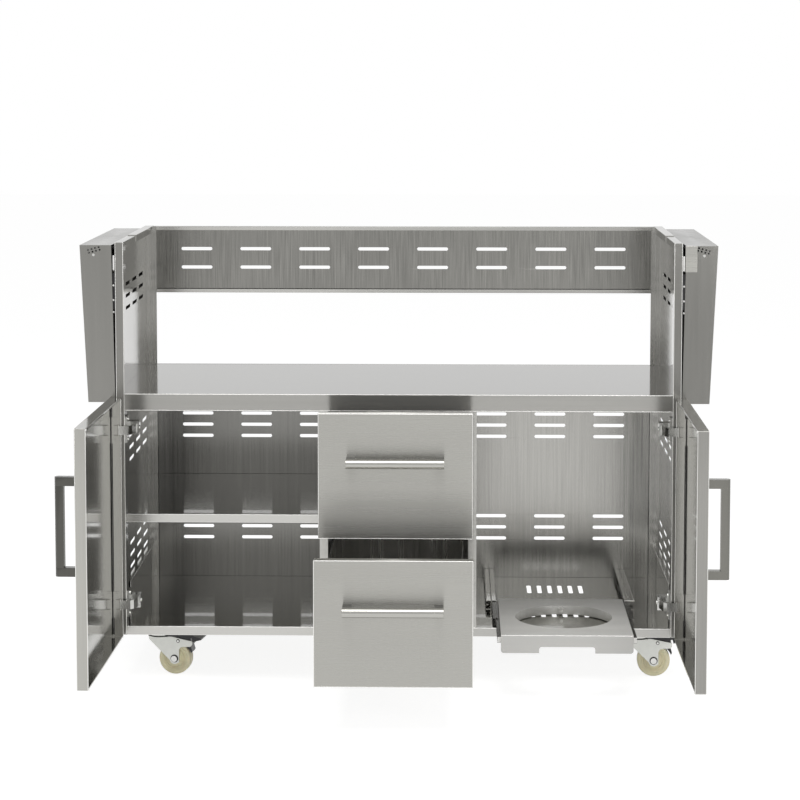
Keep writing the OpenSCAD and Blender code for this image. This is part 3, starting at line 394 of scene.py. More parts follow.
def copy_of(piece, name):
    """A copy with a mesh of its own."""
    twin = piece.copy()
    twin.data = piece.data.copy()
    twin.name = twin.data.name = name
    bpy.context.collection.objects.link(twin)
    return twin


def join(pieces, name):
    """Joins pieces into the first one, under a new name."""
    start()
    for p in pieces:
        p.select_set(True)
    bpy.context.view_layer.objects.active = pieces[0]
    bpy.ops.object.join()
    whole = bpy.context.object
    whole.name = whole.data.name = name
    return whole


def finish_piece(piece, material, body, replaced=()):
    """Gives a piece its finish and its body."""
    piece.data.materials.clear()
    piece.data.materials.append(MADE[material])
    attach(piece, body)
    if replaced:
        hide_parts(*replaced)


def mm(*v):
    """A place in millimetres from the cart's front plane as metres in the frame."""
    return Vector((v[0] / 1000, v[1] / 1000 + FRONT_Y, v[2] / 1000))


def bead(a, b, r=0.0009):
    """A rounded strip along a fold, whose outer radius catches a line of light."""
    a, b = Vector(a), Vector(b)
    lo = Vector(min(p) for p in zip(a, b)) - Vector((r, r, r))
    hi = Vector(max(p) for p in zip(a, b)) + Vector((r, r, r))
    strip = block("bead", lo, hi)
    bevel(strip, r * 0.85, 3)
    return strip


def swing(side):
    """The matrix that takes a closed right door's parts to where a door stands open."""
    pivot = mm(*DOOR_PIVOT, 0)
    turn = Matrix.Rotation(math.radians(DOOR_OPEN[side]), 4, "Z")
    flip = Matrix.Diagonal((-1 if side == "left" else 1, 1, 1, 1))
    return flip @ Matrix.Translation(pivot) @ turn @ Matrix.Translation(-pivot)


# Settings


class CartSizes(bpy.types.PropertyGroup):
    tube: FloatProperty(
        name="Tube corner", description="Radius of the handle bars' long edges", default=0.0088, unit="LENGTH"
    )


class CartColours(bpy.types.PropertyGroup):
    panel: StringProperty(name="Side panels", description="sRGB hex of the side panels", default="A9A8A4")
    back: StringProperty(name="Upper back", description="sRGB hex of the upper back panel", default="868581")
    lower: StringProperty(name="Lower back", description="sRGB hex of the lower back panel", default="A3A29E")
    deck: StringProperty(name="Deck", description="sRGB hex of the deck", default="908F8C")
    front: StringProperty(name="Drawer fronts", description="sRGB hex of the drawer fronts", default="A7A6A1")
    wing: StringProperty(name="Side shelves", description="sRGB hex of the side shelves", default="8B8A86")
    door: StringProperty(name="Doors", description="sRGB hex of the doors", default="A9A8A3")
    box: StringProperty(name="Drawer boxes", description="sRGB hex of the drawer boxes", default="BDBCB8")
    inner: StringProperty(name="Inner sheets", description="sRGB hex of the inner sheets", default="9B9A93")
    tray: StringProperty(name="Bottle tray", description="sRGB hex of the bottle tray", default="E6E5E1")
    handle: StringProperty(name="Handles", description="sRGB hex of the drawer handles", default="ADACA7")
    # Darker than the drawer handles: painted shade on the door handles
    shaded_grip: StringProperty(name="Door handles", description="sRGB hex of the door handles", default="75746F")
    lip: StringProperty(name="Front lips", description="sRGB hex of the folded front lips", default="BDBCB8")
    zinc: StringProperty(name="Slides", description="sRGB hex of the slides", default="A2A19D")
    polish: StringProperty(name="Rail tops", description="sRGB hex of the tray rails' tops", default="DAD9D5")
    # Dark: painted shade on the tray's sliding members
    shaded_slide: StringProperty(name="Tray slides", description="sRGB hex of the tray's slides", default="605F5C")
    # Near white: a painted highlight along the folds
    fold: StringProperty(name="Folds", description="sRGB hex of the bright folds", default="E4E3E0")
    post: StringProperty(name="Posts", description="sRGB hex of the front posts", default="898884")
    rail: StringProperty(name="Deck rail", description="sRGB hex of the deck's rail", default="A09F9B")
    # Darker than the doors: painted shade on the right door's free edge
    edge: StringProperty(name="Door edge", description="sRGB hex of the right door's edge", default="8F8E8A")
    nickel: StringProperty(name="Hinges", description="sRGB hex of the hinges and screws", default="CFCFCC")
    fork: StringProperty(name="Forks", description="sRGB hex of the caster forks", default="D0D1CC")
    wheel: StringProperty(name="Wheels", description="sRGB hex of the wheels", default="EDE5C2")
    lever: StringProperty(name="Levers", description="sRGB hex of the brake levers", default="161618")
    # Near black: painted shadow in gaps, seams and recesses
    gap: StringProperty(name="Gaps", description="sRGB hex of the open gaps", default="141413")
    bracket: StringProperty(name="Brackets", description="sRGB hex of the shelf brackets", default="1B1B1C")
    bumper: StringProperty(name="Bumpers", description="sRGB hex of the bumpers and stops", default="F0EFEC")


# Finishes


class CART_OT_finishes(bpy.types.Operator):
    """Makes the finishes and puts them on the CAD parts"""

    bl_idname = "cart.finishes"
    bl_label = "Finishes"

    def execute(self, context):
        c = context.scene.cart_colours
        # Cold rolled sheet with its grain along the depth: level lines inside the side panels
        # Painted shade on the inner faces below the deck
        MADE["side"] = brushed(
            "Brushed stainless side panels", c.panel, DEPTH, band_mm=14.0, line_mm=1.6,
            roughness=0.13, contrast=0.12, lift=0.3, stretch=0.4, shade=painted_bay_shade,
        )
        # A coarse belt run upright: clear upright streaks, the darkest of the outer sheets
        MADE["back"] = brushed(
            "Coarsely brushed stainless, upright", c.back, UP, band_mm=3.0, line_mm=1.4,
            roughness=0.17, contrast=0.26, lift=0.3, stretch=0.5,
        )
        # Wider streaks behind the bays, soft enough that the tray's reflection fades
        # Painted shade on the left half
        MADE["lower"] = brushed(
            "Brushed stainless behind the bays", c.lower, UP, band_mm=5.0, line_mm=2.2,
            roughness=0.2, contrast=0.15, lift=0.3, stretch=0.2, shade=painted_left_shade,
        )
        # The deck is brushed along the cart and catches the most light
        MADE["along"] = brushed(
            "Brushed stainless deck, grain along", c.deck, ACROSS, band_mm=30.0, line_mm=1.8,
            roughness=0.1, contrast=0.05, lift=0.2, stretch=0.5, around="Y",
        )
        # A fine belt on the drawer fronts: level hairlines that draw reflections upright
        # Painted shade low on the upper front, and a painted highlight on the tops of both fronts
        MADE["fine"] = brushed(
            "Fine brushed stainless fronts", c.front, ACROSS, band_mm=34.0, line_mm=0.8,
            roughness=0.27, contrast=0.035, lift=0.02, stretch=0.93, shade=painted_front_shade_and_highlight,
        )
        # The doors are polished before brushing, so their insides mirror their own walls
        MADE["door"] = brushed(
            "Polished stainless doors", c.door, UP, band_mm=26.0, line_mm=1.3,
            roughness=0.11, contrast=0.05, lift=0.12, stretch=0.4,
        )
        # The side shelves are brushed from the hinge to the free edge, a satin that mirrors softly
        # Painted shade on the right shelf
        MADE["wing"] = brushed(
            "Brushed stainless side shelves", c.wing, UP, band_mm=18.0, line_mm=1.5,
            roughness=0.2, contrast=0.06, lift=0.2, stretch=0.4, shade=painted_right_shade,
        )
        # Mill finish inside: its grooves smear the slots behind into pale bands that run to the front
        # Painted light near the front of the floor and shelf
        MADE["mill"] = brushed(
            "Mill finish stainless, inside", c.inner, ACROSS, band_mm=30.0, line_mm=2.0,
            roughness=0.12, contrast=0.08, lift=0.1, stretch=0.96, around="Y",
            shade=painted_front_zone_light, film=0.7,
        )
        # The drawer boxes are folded from bright annealed sheet
        MADE["box"] = brushed(
            "Bright annealed stainless boxes", c.box, UP, band_mm=12.0, line_mm=2.0,
            roughness=0.25, contrast=0.1, lift=0.2,
        )
        # The tray is glass blasted, so its pits scatter light almost like a matt surface
        # Painted shade on the tray's faces turned to the front
        MADE["tray"] = brushed(
            "Satin blasted stainless tray", c.tray, ACROSS, band_mm=30.0, line_mm=1.2,
            roughness=0.45, contrast=0.05, lift=0.15, shade=painted_tray_shade, metallic=0.4,
        )
        # Front lips, belted along the cart after folding and coloured the brightest, with painted shade on
        # the right
        MADE["lip"] = brushed(
            "Belted stainless lips", c.lip, ACROSS, band_mm=20.0, line_mm=1.3,
            roughness=0.22, contrast=0.05, lift=0.2, stretch=0.7, shade=painted_right_shade,
        )
        # Drawn tube: a white line along the rounded edge over a grey face
        # Painted shade on the tops of the handles' posts
        MADE["satin"] = brushed(
            "Satin stainless tube", c.handle, ACROSS, band_mm=12.0, line_mm=1.0,
            roughness=0.17, contrast=0.05, lift=0.1, shade=painted_post_shade,
        )
        # The door handles' tube takes a darker colour than the drawer handles': painted shade, deeper on the
        # left
        MADE["satin_upright"] = brushed(
            "Satin stainless tube, upright", c.shaded_grip, UP, band_mm=12.0, line_mm=1.0,
            roughness=0.22, contrast=0.05, lift=0.1, stretch=0.4, shade=painted_left_shade,
        )
        # The posts are ground upright and coloured darker than the sheets, and painted shade darkens the
        # right ones
        MADE["post"] = brushed(
            "Ground stainless posts, upright", c.post, UP, band_mm=8.0, line_mm=1.5,
            roughness=0.2, contrast=0.06, lift=0.2, stretch=0.4, shade=painted_right_shade,
        )
        # The rail below the deck is a shade darker than the deck and mirrors the upper drawer as a grey block
        MADE["rail"] = brushed(
            "Hairline stainless rail", c.rail, ACROSS, band_mm=30.0, line_mm=1.8,
            roughness=0.1, contrast=0.05, lift=0.2, stretch=0.5, around="Y", metallic=0.7,
        )
        # Painted shade: the right door's free edge takes a darker colour than the door, with upright grinding
        # lines
        MADE["edge"] = brushed(
            "Door edge with painted shade", c.edge, UP, band_mm=8.0, line_mm=1.5,
            roughness=0.15, contrast=0.06, lift=0.2, stretch=0.4,
        )
        # The back flanges show as pale upright strips in the corners
        MADE["corner"] = brushed(
            "Brushed stainless corner flanges", c.panel, UP, band_mm=6.0, line_mm=1.6,
            roughness=0.25, contrast=0.1, lift=0.2, stretch=0.6,
        )
        # The folds' outer radius gets a near-white colour, a painted highlight that shows as a white line
        MADE["fold"] = plated("Fold with painted highlight", c.fold, roughness=0.2, contrast=0.04)
        # Polished zinc on the rails' rounded tops mirrors the slots behind as small squares
        MADE["polish"] = plated("Polished zinc", c.polish, roughness=0.1)
        # Sliding members are oiled, and their dark colour paints the shade that they stand in
        MADE["shaded_slide"] = plated("Oiled zinc with painted shade", c.shaded_slide, roughness=0.22)
        # Painted shadow: a near-black finish on strips and discs laid where gaps, seams and recesses stand in
        # shade
        MADE["shadow"] = moulded("Painted shadow in gaps", c.gap, roughness=0.7, grit_bump=0.0)
        # Bright plating on slides and screws: small hard glints
        MADE["zinc"] = plated("Bright zinc on pressed steel", c.zinc, roughness=0.18)
        MADE["nickel"] = plated("Nickel plated steel", c.nickel, roughness=0.14)
        # The forks are barrel plated, a pale satin without glints
        MADE["fork"] = plated("Satin zinc plated forks", c.fork, roughness=0.45)
        # Cream wheels that glow a little at the rim
        MADE["nylon"] = moulded(
            "Moulded nylon wheel", c.wheel, roughness=0.4, grit_bump=0.1, ior=1.53, subsurface=0.05
        )
        # Glossy black levers, whose edges catch a thin line of light
        MADE["lever"] = moulded("Moulded ABS lever", c.lever, roughness=0.3, grit_bump=0.15)
        # Pebbled black coat on the brackets, which also paints the shade in the gap beside the side shelves
        MADE["paint"] = moulded("Black powder coat on brackets", c.bracket, roughness=0.5, grit_bump=0.4)
        # Pale clear bumpers and nylon stops, soft white spots on the grey steel
        MADE["bumper"] = moulded("Clear polyurethane bumper", c.bumper, roughness=0.3, grit_bump=0.05)
        groups = {
            "side": ["left_side_panel", "right_side_panel", "left_partition", "right_partition", "rim_caps"],
            "back": ["upper_back_panel"],
            "lower": ["lower_back_panel"],
            "wing": ["left_side_shelf", "right_side_shelf"],
            "along": ["deck"],
            "tray": ["bottle_tray"],
            "mill": ["floor_pan", "mid_shelf", "shelf_supports", "base_rails"],
            "box": ["upper_drawer_box", "lower_drawer_box"],
            "fine": ["upper_drawer_front", "lower_drawer_front", "right_shelf_plate"],
            "door": ["left_door", "right_door", "left_door_hinge_cups", "right_door_hinge_cups"],
            "satin": ["upper_drawer_handle", "lower_drawer_handle"],
            "satin_upright": ["left_door_handle", "right_door_handle"],
            "zinc": [
                "upper_drawer_rails", "lower_drawer_rails", "tray_rails", "tray_brackets",
                "upper_drawer_slides", "upper_middle_slides", "lower_drawer_slides", "lower_middle_slides",
            ],
            "shaded_slide": ["tray_slides", "tray_middle_slides"],
            "nickel": ["door_hinge_arms", "panel_screws", "wing_pins", "clamp_screw"],
            "fork": ["caster_plates"],
            "nylon": [],
            "lever": [],
            "paint": ["wing_brackets"],
            "bumper": ["left_door_bumpers", "right_door_bumpers"],
        }
        endings = {"_fork": "fork", "_wheel": "nylon", "_axle": "nickel", "_brake": "lever"}
        for name in NODES:
            for ending, finish in endings.items():
                if name.endswith(ending):
                    groups[finish].append(name)
        placed = set()
        for finish, names in groups.items():
            for name in names:
                NODES[name].material_slots[0].material = MADE[finish]
                placed.add(name)
        missing = set(NODES) - placed
        if missing:
            raise RuntimeError("no finish for " + ", ".join(sorted(missing)))
        return {"FINISHED"}


class CART_OT_edges(bpy.types.Operator):
    """Breaks the sharp edges of the CAD parts that stay, so that they catch the light"""

    bl_idname = "cart.edges"
    bl_label = "Broken edges"

    def execute(self, context):
        # Widths in metres: narrow on cut sheet, wider on folds, widest on hinge arms and brake levers
        widths = {
            0.0003: [
                "left_side_panel", "right_side_panel", "upper_back_panel", "lower_back_panel", "deck",
                "floor_pan", "left_partition", "right_partition", "mid_shelf", "tray_brackets", "tray_rails",
                "tray_slides", "tray_middle_slides",
            ],
            0.0004: [
                "rim_caps", "upper_drawer_box", "lower_drawer_box", "wing_brackets", "right_shelf_plate",
                "caster_plates",
            ],
            0.0006: ["bottle_tray"] + [name + "_fork" for name in CASTERS],
            0.0009: [
                "left_side_shelf", "right_side_shelf", "left_door", "right_door", "upper_drawer_front",
                "lower_drawer_front",
            ],
            0.001: ["door_hinge_arms"],
            0.0012: ["front_left_brake", "front_right_brake"],
        }
        for width, names in widths.items():
            for name in names:
                o = NODES[name]
                # Corners of the CAD's loose triangles lie closer together than this
                o.modifiers.new("Merged", "WELD").merge_threshold = 0.00002
                b = o.modifiers.new("Broken edge", "BEVEL")
                b.width = width
                b.segments = 2
                b.limit_method = "ANGLE"
                b.angle_limit = math.radians(50)
                b.harden_normals = True
        return {"FINISHED"}


class CART_OT_handles(bpy.types.Operator):
    """Builds the square tube handles: two end posts, a bar between them and a seam where they are welded"""

    bl_idname = "cart.handles"
    bl_label = "Handles"

    def execute(self, context):
        lo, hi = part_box("upper_drawer_handle")
        length, out, width = hi - lo
        half, low, high = length / 2, -width / 2, width / 2
        seam = 0.0002
        bar_end = half - width + 2 * seam
        parts = [
            block("post_a", (-half, -out, low), (-half + width - seam, 0, high)),
            block("post_b", (half - width + seam, -out, low), (half, 0, high)),
            block("bar", (-bar_end, -out, low), (bar_end, -out + width, high)),
        ]
        for part in parts:
            # Only the long edges at the front are drawn round, and the ends are cut square
            pick_edges(part, lambda middle, along: abs(along.x) > 0.9 and middle.y < -out + 0.001)
            bpy.ops.mesh.bevel(offset=context.scene.cart_sizes.tube, segments=8)
            bpy.ops.object.mode_set(mode="OBJECT")
            bevel(part, 0.0003, limit_method="ANGLE", angle_limit=math.radians(60))
        handle = join(parts, "handle")
        smooth(handle, 40)
        for side in ("upper", "lower"):
            name = side + "_drawer_handle"
            lo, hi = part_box(name)
            twin = copy_of(handle, name + "_dressed")
            rehang(twin, Matrix.Translation(((lo.x + hi.x) / 2, hi.y, (lo.z + hi.z) / 2)))
            finish_piece(twin, "satin", side + "_drawer", [name])
        # Upright, in the place of a closed right door's handle
        closed = Matrix.Translation(mm(215.5, -26, 441)) @ Matrix.Rotation(math.radians(90), 4, "Y")
        for side in ("left", "right"):
            name = side + "_door_handle"
            twin = copy_of(handle, name + "_dressed")
            rehang(twin, swing(side) @ closed)
            finish_piece(twin, "satin_upright", side + "_door", [name])
        bpy.data.objects.remove(handle)
        return {"FINISHED"}


class CART_OT_spacers(bpy.types.Operator):
    """Adds the pale nylon spacers beside the folded side shelves and their bolts down the gap"""

    bl_idname = "cart.spacers"
    bl_label = "Shelf spacers"

    def execute(self, context):
        gap_in, gap_out = 636.2, 640.2
        bolt_x, bolt_heights = 639.2, (905, 872, 845)
        parts = []
        for sign in (-1, 1):
            lo, hi = sorted((sign * gap_in, sign * gap_out))
            strip = block("strip", mm(lo, 1.2, 939), mm(hi, 3.8, 973))
            bevel(strip, 0.0008, 3)
            parts.append(strip)
            for z in bolt_heights:
                bolt = rod("bolt", mm(sign * bolt_x, 3.4, z), (0, 1, 0), 0.0022, 0.0012, 20)
                bevel(bolt, 0.0004)
                parts.append(bolt)
        spacer = join(parts, "side_shelf_spacers")
        smooth(spacer)
        finish_piece(spacer, "bumper", "cabinet")
        return {"FINISHED"}


class CART_OT_lips(bpy.types.Operator):
    """Faces the front lips, the rail, the posts, the upper back's hems and the corner flanges"""

    bl_idname = "cart.lips"
    bl_label = "Faced strips"

    def execute(self, context):
        def faced(name, finish, corners):
            sheets = []
            for lo, hi in corners:
                sheet = block("sheet", mm(*lo), mm(*hi))
                bevel(sheet, 0.0002)
                sheets.append(sheet)
            whole = join(sheets, name)
            smooth(whole)
            finish_piece(whole, finish, "cabinet")

        def level(end, span):
            """One strip on a lip's front, which the doors' bumpers just miss."""
            return [((-LIP_END_X, -0.15, span[0]), (end, 0.25, span[1]))]

        def upright(edges, width, front, back, low, high):
            return [((x, front, low), (x + width, back, high)) for x in edges]

        faced("floor_pan_lip_face", "lip", level(LIP_END_X, FLOOR_LIP_Z))
        faced("mid_shelf_lip_face", "lip", level(MID_SHELF_END_X, MID_LIP_Z))
        faced("deck_rail_face", "rail", level(LIP_END_X, RAIL_Z))
        faced("post_faces", "post", upright((-633.8, 617.8), 16, -0.35, 0.25, 109, 1001))
        hem_front = 521.25
        faced("upper_back_hem_faces", "lip", [
            ((-608, hem_front, z), (608, hem_front + 0.5, z + 8.4)) for z in (839.2, 993.2)
        ])
        # The side panels' back flanges, above the deck and below it
        flange_edges, flange_w = (-633.2, 609.7), 23.5
        for name, low, high in (("upper_flange_faces", 662, 992), ("corner_flange_faces", 129, 639)):
            faced(name, "corner", upright(flange_edges, flange_w, 529.6, 530.2, low, high))
        # Painted shadow: a dark line where the back panel lies behind the flanges' edges
        lines = upright((-609.3, 608.1), 1.2, 529.7, 530.4, 129, 639)
        faced("corner_flange_shadows", "shadow", lines)
        return {"FINISHED"}


class CART_OT_folds(bpy.types.Operator):
    """Lays rounded folds with a painted highlight along the edges of the posts, rails, fronts, doors and tray
    """

    bl_idname = "cart.folds"
    bl_label = "Bright folds"

    def execute(self, context):
        def laid(lines, name):
            whole = join([bead(a, b) for a, b in lines], name)
            smooth(whole, 60)
            return whole

        lines = [((-FOLD_END_X, 0.7, z), (FOLD_END_X, 0.7, z)) for z in (622.8, 659.3, 108.8, 127.3)]
        lines += [((-FOLD_END_X, 0.7, z), (-178.5, 0.7, z)) for z in (368.2, 385.3)]
        lines += [((x, 0.6, 110), (x, 0.6, 1001)) for x in (-634.3, -617.3, 617.3, 634.3)]
        # The channels on the floor along the side panels
        front, back, foot, top = 86, 526, 129, 211.6
        for x in (-618.8, 618.8):
            lines += [((x, front, top), (x, back, top)), ((x, front, foot), (x, front, top))]
        whole = laid([(mm(*a), mm(*b)) for a, b in lines], "cabinet_folds")
        finish_piece(whole, "fold", "cabinet")

        inset = 0.0007
        for side in ("upper", "lower"):
            lo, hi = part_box(side + "_drawer_front")
            x0, x1, y, z0, z1 = lo.x + inset, hi.x - inset, lo.y + inset, lo.z + inset, hi.z - inset
            corners = [(x0, y, z0), (x1, y, z0), (x1, y, z1), (x0, y, z1)]
            whole = laid(zip(corners, corners[1:] + corners[:1]), side + "_drawer_folds")
            finish_piece(whole, "fold", side + "_drawer")

        lo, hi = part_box("bottle_tray")
        y, z = lo.y + inset, hi.z - inset
        whole = laid([((lo.x + 0.001, y, z), (hi.x - 0.001, y, z))], "tray_fold")
        finish_piece(whole, "fold", "tray")

        # A closed right door's edges, then its free edge's face
        x0, x1, front, back = 171.2, 632.3, -25.3, -2.4
        lines = [((x0, y, 105), (x0, y, 652)) for y in (front, back)]
        lines += [((x0, front, z), (x1, front, z)) for z in (104.7, 652.3)]
        lines.append(((x1, back, 105), (x1, back, 652)))
        door = laid([(mm(*a), mm(*b)) for a, b in lines], "door_folds")
        # The free edge's face has a darker colour than the door: painted shade
        edge = block("right_door_edge_face", mm(170.2, -25, 106), mm(170.75, -3, 651))
        bevel(edge, 0.0002)
        rehang(edge, swing("right"))
        smooth(edge)
        finish_piece(edge, "edge", "right_door")
        # The skin and the hinge wall are two sheets, and a dark strip paints the shadow in the seam between
        # them
        seam = block("door_seam", mm(630.9, -23.8, 109.5), mm(631.7, -21.6, 647.5))
        bevel(seam, 0.0003)
        for side in ("left", "right"):
            for piece, name, finish in ((door, "folds", "fold"), (seam, "seam", "shadow")):
                twin = copy_of(piece, side + "_door_" + name)
                rehang(twin, swing(side))
                finish_piece(twin, finish, side + "_door")
        bpy.data.objects.remove(door)
        bpy.data.objects.remove(seam)
        return {"FINISHED"}


class CART_OT_rails(bpy.types.Operator):
    """Rounds the tops of the tray's fixed rails and their channels, and outlines their open ends"""

    bl_idname = "cart.rails"
    bl_label = "Tray rails"

    def execute(self, context):
        lo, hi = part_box("tray_rails")
        middle, half = (lo.x + hi.x) / 2, (hi.x - lo.x) / 2
        wall, ridge_z = 0.0009, hi.z + 0.0014
        parts = []
        # Inward from the rails' outer side: the rail, and the angle outside it that carries it
        for x0, x1 in ((0.0008, 0.0118), (-0.0111, -0.0004)):
            top = block("top", (half - x1, lo.y, hi.z - 0.0002), (half - x0, hi.y, ridge_z))
            bevel(top, 0.0013, 4)
            parts.append(top)
            for x in (x0 + 0.0008, x1 - 0.0008):
                parts.append(bead((half - x, lo.y, ridge_z), (half - x, hi.y, ridge_z), 0.0007))
            parts.append(bead((half - x0, lo.y, hi.z + 0.001), (half - x1, lo.y, hi.z + 0.001)))
            for x in (half - x0, half - x1 + wall):
                near, far = (x - wall, lo.y - 0.0006, hi.z - 0.011), (x, lo.y + 0.003, hi.z + 0.001)
                cheek = block("cheek", near, far)
                bevel(cheek, 0.0003)
                parts.append(cheek)
        right = join(parts, "tray_rail_tops")
        left = copy_of(right, "left_tops")
        rehang(right, Matrix.Translation((middle, 0, 0)))
        rehang(left, Matrix.Translation((middle, 0, 0)) @ Matrix.Diagonal((-1, 1, 1, 1)))
        whole = join([right, left], "tray_rail_tops")
        smooth(whole, 60)
        finish_piece(whole, "polish", "cabinet")

        # A nylon stop closes the front end of each sliding member
        lo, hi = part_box("tray_slides")
        member = 0.0105
        stops = []
        for x in (lo.x, hi.x - member):
            stop = block("stop", (x, lo.y - 0.0025, lo.z + 0.001), (x + member, lo.y + 0.001, hi.z - 0.0005))
            bevel(stop, 0.0012, 3)
            stops.append(stop)
        stop = join(stops, "tray_slide_stops")
        smooth(stop)
        finish_piece(stop, "bumper", "tray")
        return {"FINISHED"}


class CART_OT_casters(bpy.types.Operator):
    """Adds painted shadow at the casters' race line and axle recesses, their rivets, and the rings on their
    wheels
    """

    bl_idname = "cart.casters"
    bl_label = "Caster details"

    def execute(self, context):
        leg, wheel_w, race_z, race_r = 0.0175, 0.026, 0.0893, 0.0301
        # A dark disc paints the shadow line under the swivel's race
        race = rod("race", (0, 0, race_z), (0, 0, 1), race_r, 0.0011, 64)
        bevel(race, 0.0004)
        dark, bright = [race], []
        for side in (-1, 1):
            # A dark disc painting the shadow in the axle's recess, and the lower rivet with its head
            for x, z, ring, head in ((0.036, 0.0375, 0.0092, 0.0), (0.045, 0.079, 0.0041, 0.0028)):
                recess = rod("recess", (x, side * (leg + 0.0001), z), (0, side, 0), ring, 0.0007, 48)
                bevel(recess, 0.0003)
                dark.append(recess)
                if head:
                    rivet = rod("rivet", (x, side * (leg + 0.0008), z), (0, side, 0), head, 0.0016, 32)
                    bevel(rivet, 0.0007, 3)
                    bright.append(rivet)
        dark = join(dark, "caster_shadows")
        bright = join(bright, "caster_rivets")
        smooth(dark)
        smooth(bright)
        turns = {}
        for name in CASTERS:
            axis = JOINTS[name + "_roll"]["axis"]
            turns[name] = Matrix.Rotation(math.atan2(-axis[0], axis[1]), 4, "Z")
            x, y, _ = JOINTS[name + "_swivel"]["pos_m"]
            for piece, kind, finish, slot in (
                (dark, "_painted_shadows", "shadow", "brake_black"),
                (bright, "_rivets", "nickel", "hinge_chrome"),
            ):
                if kind == "_rivets" and name.startswith("back"):
                    continue
                twin = copy_of(piece, name + kind)
                rehang(twin, Matrix.Translation((x, y, 0)) @ turns[name])
                finish_piece(twin, finish, name + "_caster")
        bpy.data.objects.remove(dark)
        bpy.data.objects.remove(bright)

        # Turned rings on the wheels' flanks, which catch the light as pale and dark arcs
        rings = []
        for side in (-1, 1):
            for radius, thick in ((0.0215, 0.0008), (0.029, 0.0009)):
                start()
                bpy.ops.mesh.primitive_torus_add(
                    major_radius=radius, minor_radius=thick, major_segments=64, minor_segments=10,
                    location=(0, side * wheel_w / 2, 0), rotation=(math.radians(90), 0, 0),
                )
                rings.append(context.object)
                bpy.ops.object.transform_apply(location=True, rotation=True, scale=True)
        ring = join(rings, "wheel_rings")
        smooth(ring)
        for name in CASTERS:
            twin = copy_of(ring, name + "_wheel_rings")
            rehang(twin, Matrix.Translation(JOINTS[name + "_roll"]["pos_m"]) @ turns[name])
            finish_piece(twin, "nylon", name + "_wheel")
        bpy.data.objects.remove(ring)
        return {"FINISHED"}


# Studio


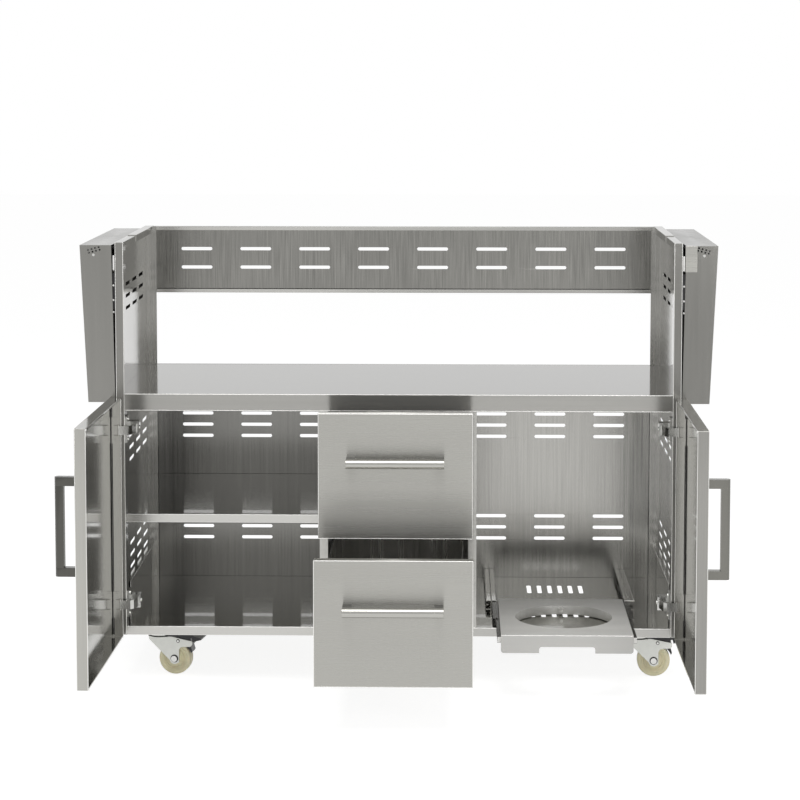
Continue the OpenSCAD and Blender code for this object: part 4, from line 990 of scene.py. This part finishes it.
class CART_OT_studio(bpy.types.Operator):
    """Puts the cart on a white floor under soft lights, with the camera of the photograph"""

    bl_idname = "cart.studio"
    bl_label = "Studio"

    def execute(self, context):
        scene = context.scene
        start()
        bpy.ops.mesh.primitive_plane_add(size=1, location=(0, 0, 0))
        floor = context.object
        floor.name = floor.data.name = "studio_floor"
        floor.scale = (40, 40, 1)
        bpy.ops.object.transform_apply(location=True, rotation=True, scale=True)
        m = bpy.data.materials.new("White studio floor")
        tree = cleared(m)
        # The camera, metal and glass see a white floor that still holds the cart's shadow
        path = add(tree, "ShaderNodeLightPath").outputs
        links = {0: path["Is Camera Ray"], 1: path["Is Glossy Ray"]}
        seen = add(tree, "ShaderNodeMath", links=links, operation="MAXIMUM")
        links = {0: seen, 1: path["Is Transmission Ray"]}
        seen = add(tree, "ShaderNodeMath", links=links, operation="MAXIMUM")
        matt = add(tree, "ShaderNodeBsdfDiffuse", {"Color": grey(0.82)})
        white = add(tree, "ShaderNodeEmission", {"Color": grey(1.0), "Strength": 0.85})
        thin = add(tree, "ShaderNodeBsdfDiffuse", {"Color": grey(0.35)})
        both = add(tree, "ShaderNodeAddShader", links={0: thin, 1: white})
        mix = add(tree, "ShaderNodeMixShader", links={0: seen, 1: matt, 2: both})
        add(tree, "ShaderNodeOutputMaterial", links={"Surface": mix})
        floor.data.materials.append(m)

        # The world is white to the camera and glass, nearly so to metal, and dim as a light
        world = bpy.data.worlds.new("White room")
        scene.world = world
        tree = cleared(world)
        path = add(tree, "ShaderNodeLightPath").outputs
        links = {0: path["Is Camera Ray"], 1: path["Is Transmission Ray"]}
        seen = add(tree, "ShaderNodeMath", links=links, operation="MAXIMUM")
        dim, gloss, white = (
            add(tree, "ShaderNodeBackground", {"Color": grey(1.0), "Strength": strength})
            for strength in (0.4, 0.9, 1.0)
        )
        lit = add(tree, "ShaderNodeMixShader", links={0: path["Is Glossy Ray"], 1: dim, 2: gloss})
        mix = add(tree, "ShaderNodeMixShader", links={0: seen, 1: lit, 2: white})
        add(tree, "ShaderNodeOutputWorld", links={"Surface": mix})

        # Name, place, aim, size and watts
        for name, place, aim, size, power in (
            ("front_softbox", (1.9, -3.4, 1.5), (0.3, 0, 0.4), (1.2, 1.6), 30),
            ("right_softbox", (4.2, -1.2, 2.2), (0, 0, 0.5), (1.6, 2.4), 16),
            ("top_softbox", (0, -1.3, 4.0), (0, -1.29, 0.6), (2.6, 3.4), 105),
            ("low_fill", (0.2, -4.6, 0.8), (0.1, 0, 0.1), (1.6, 0.6), 14),
        ):
            lamp = bpy.data.lights.new(name, "AREA")
            lamp.shape = "RECTANGLE"
            lamp.size, lamp.size_y = size
            lamp.energy = power
            o = bpy.data.objects.new(name, lamp)
            scene.collection.objects.link(o)
            o.location = place
            o.rotation_mode = "QUATERNION"
            o.rotation_quaternion = (Vector(aim) - Vector(place)).to_track_quat("-Z", "Y")
            # The fill only lifts what scatters light: nylon, paint and blasted steel
            o.visible_glossy = name != "low_fill"

        cam = bpy.data.cameras.new("front_view")
        view = bpy.data.objects.new("front_view", cam)
        scene.collection.objects.link(view)
        # The photograph's camera, fitted to the cart's corners
        view.location = mm(124.66, -5232.25, 1400.65)
        yaw, pitch = math.radians(-1.315), math.radians(-5.0)
        aim = Vector((math.sin(yaw) * math.cos(pitch), math.cos(yaw) * math.cos(pitch), math.sin(pitch)))
        view.rotation_mode = "QUATERNION"
        view.rotation_quaternion = aim.to_track_quat("-Z", "Y")
        cam.lens = 105.73
        cam.sensor_width = 36.0
        cam.shift_y = -0.1633
        scene.camera = view
        scene.view_settings.view_transform = "Standard"
        # Light reaches the closed corners between polished sheets only after many bounces
        scene.cycles.max_bounces = 16
        scene.cycles.glossy_bounces = 12
        return {"FINISHED"}


class CART_PT_panel(bpy.types.Panel):
    """Lists the steps that dress the cart"""

    bl_idname = "CART_PT_panel"
    bl_label = "Grill cart"
    bl_space_type = "VIEW_3D"
    bl_region_type = "UI"
    bl_category = "Grill cart"

    def draw(self, context):
        layout = self.layout
        for step in STEPS:
            layout.operator(step.bl_idname)
        for group in (context.scene.cart_sizes, context.scene.cart_colours):
            for key in group.__annotations__:
                layout.prop(group, key)


STEPS = (
    CART_OT_studio,
    CART_OT_finishes,
    CART_OT_edges,
    CART_OT_handles,
    CART_OT_spacers,
    CART_OT_lips,
    CART_OT_folds,
    CART_OT_rails,
    CART_OT_casters,
)
CLASSES = (CartSizes, CartColours) + STEPS + (CART_PT_panel,)


def register():
    for c in CLASSES:
        bpy.utils.register_class(c)
    bpy.types.Scene.cart_sizes = PointerProperty(type=CartSizes)
    bpy.types.Scene.cart_colours = PointerProperty(type=CartColours)


def unregister():
    del bpy.types.Scene.cart_colours
    del bpy.types.Scene.cart_sizes
    for c in reversed(CLASSES):
        bpy.utils.unregister_class(c)


def main():
    register()
    for step in STEPS:
        group, name = step.bl_idname.split(".")
        getattr(getattr(bpy.ops, group), name)()


if __name__ == "__main__":
    main()
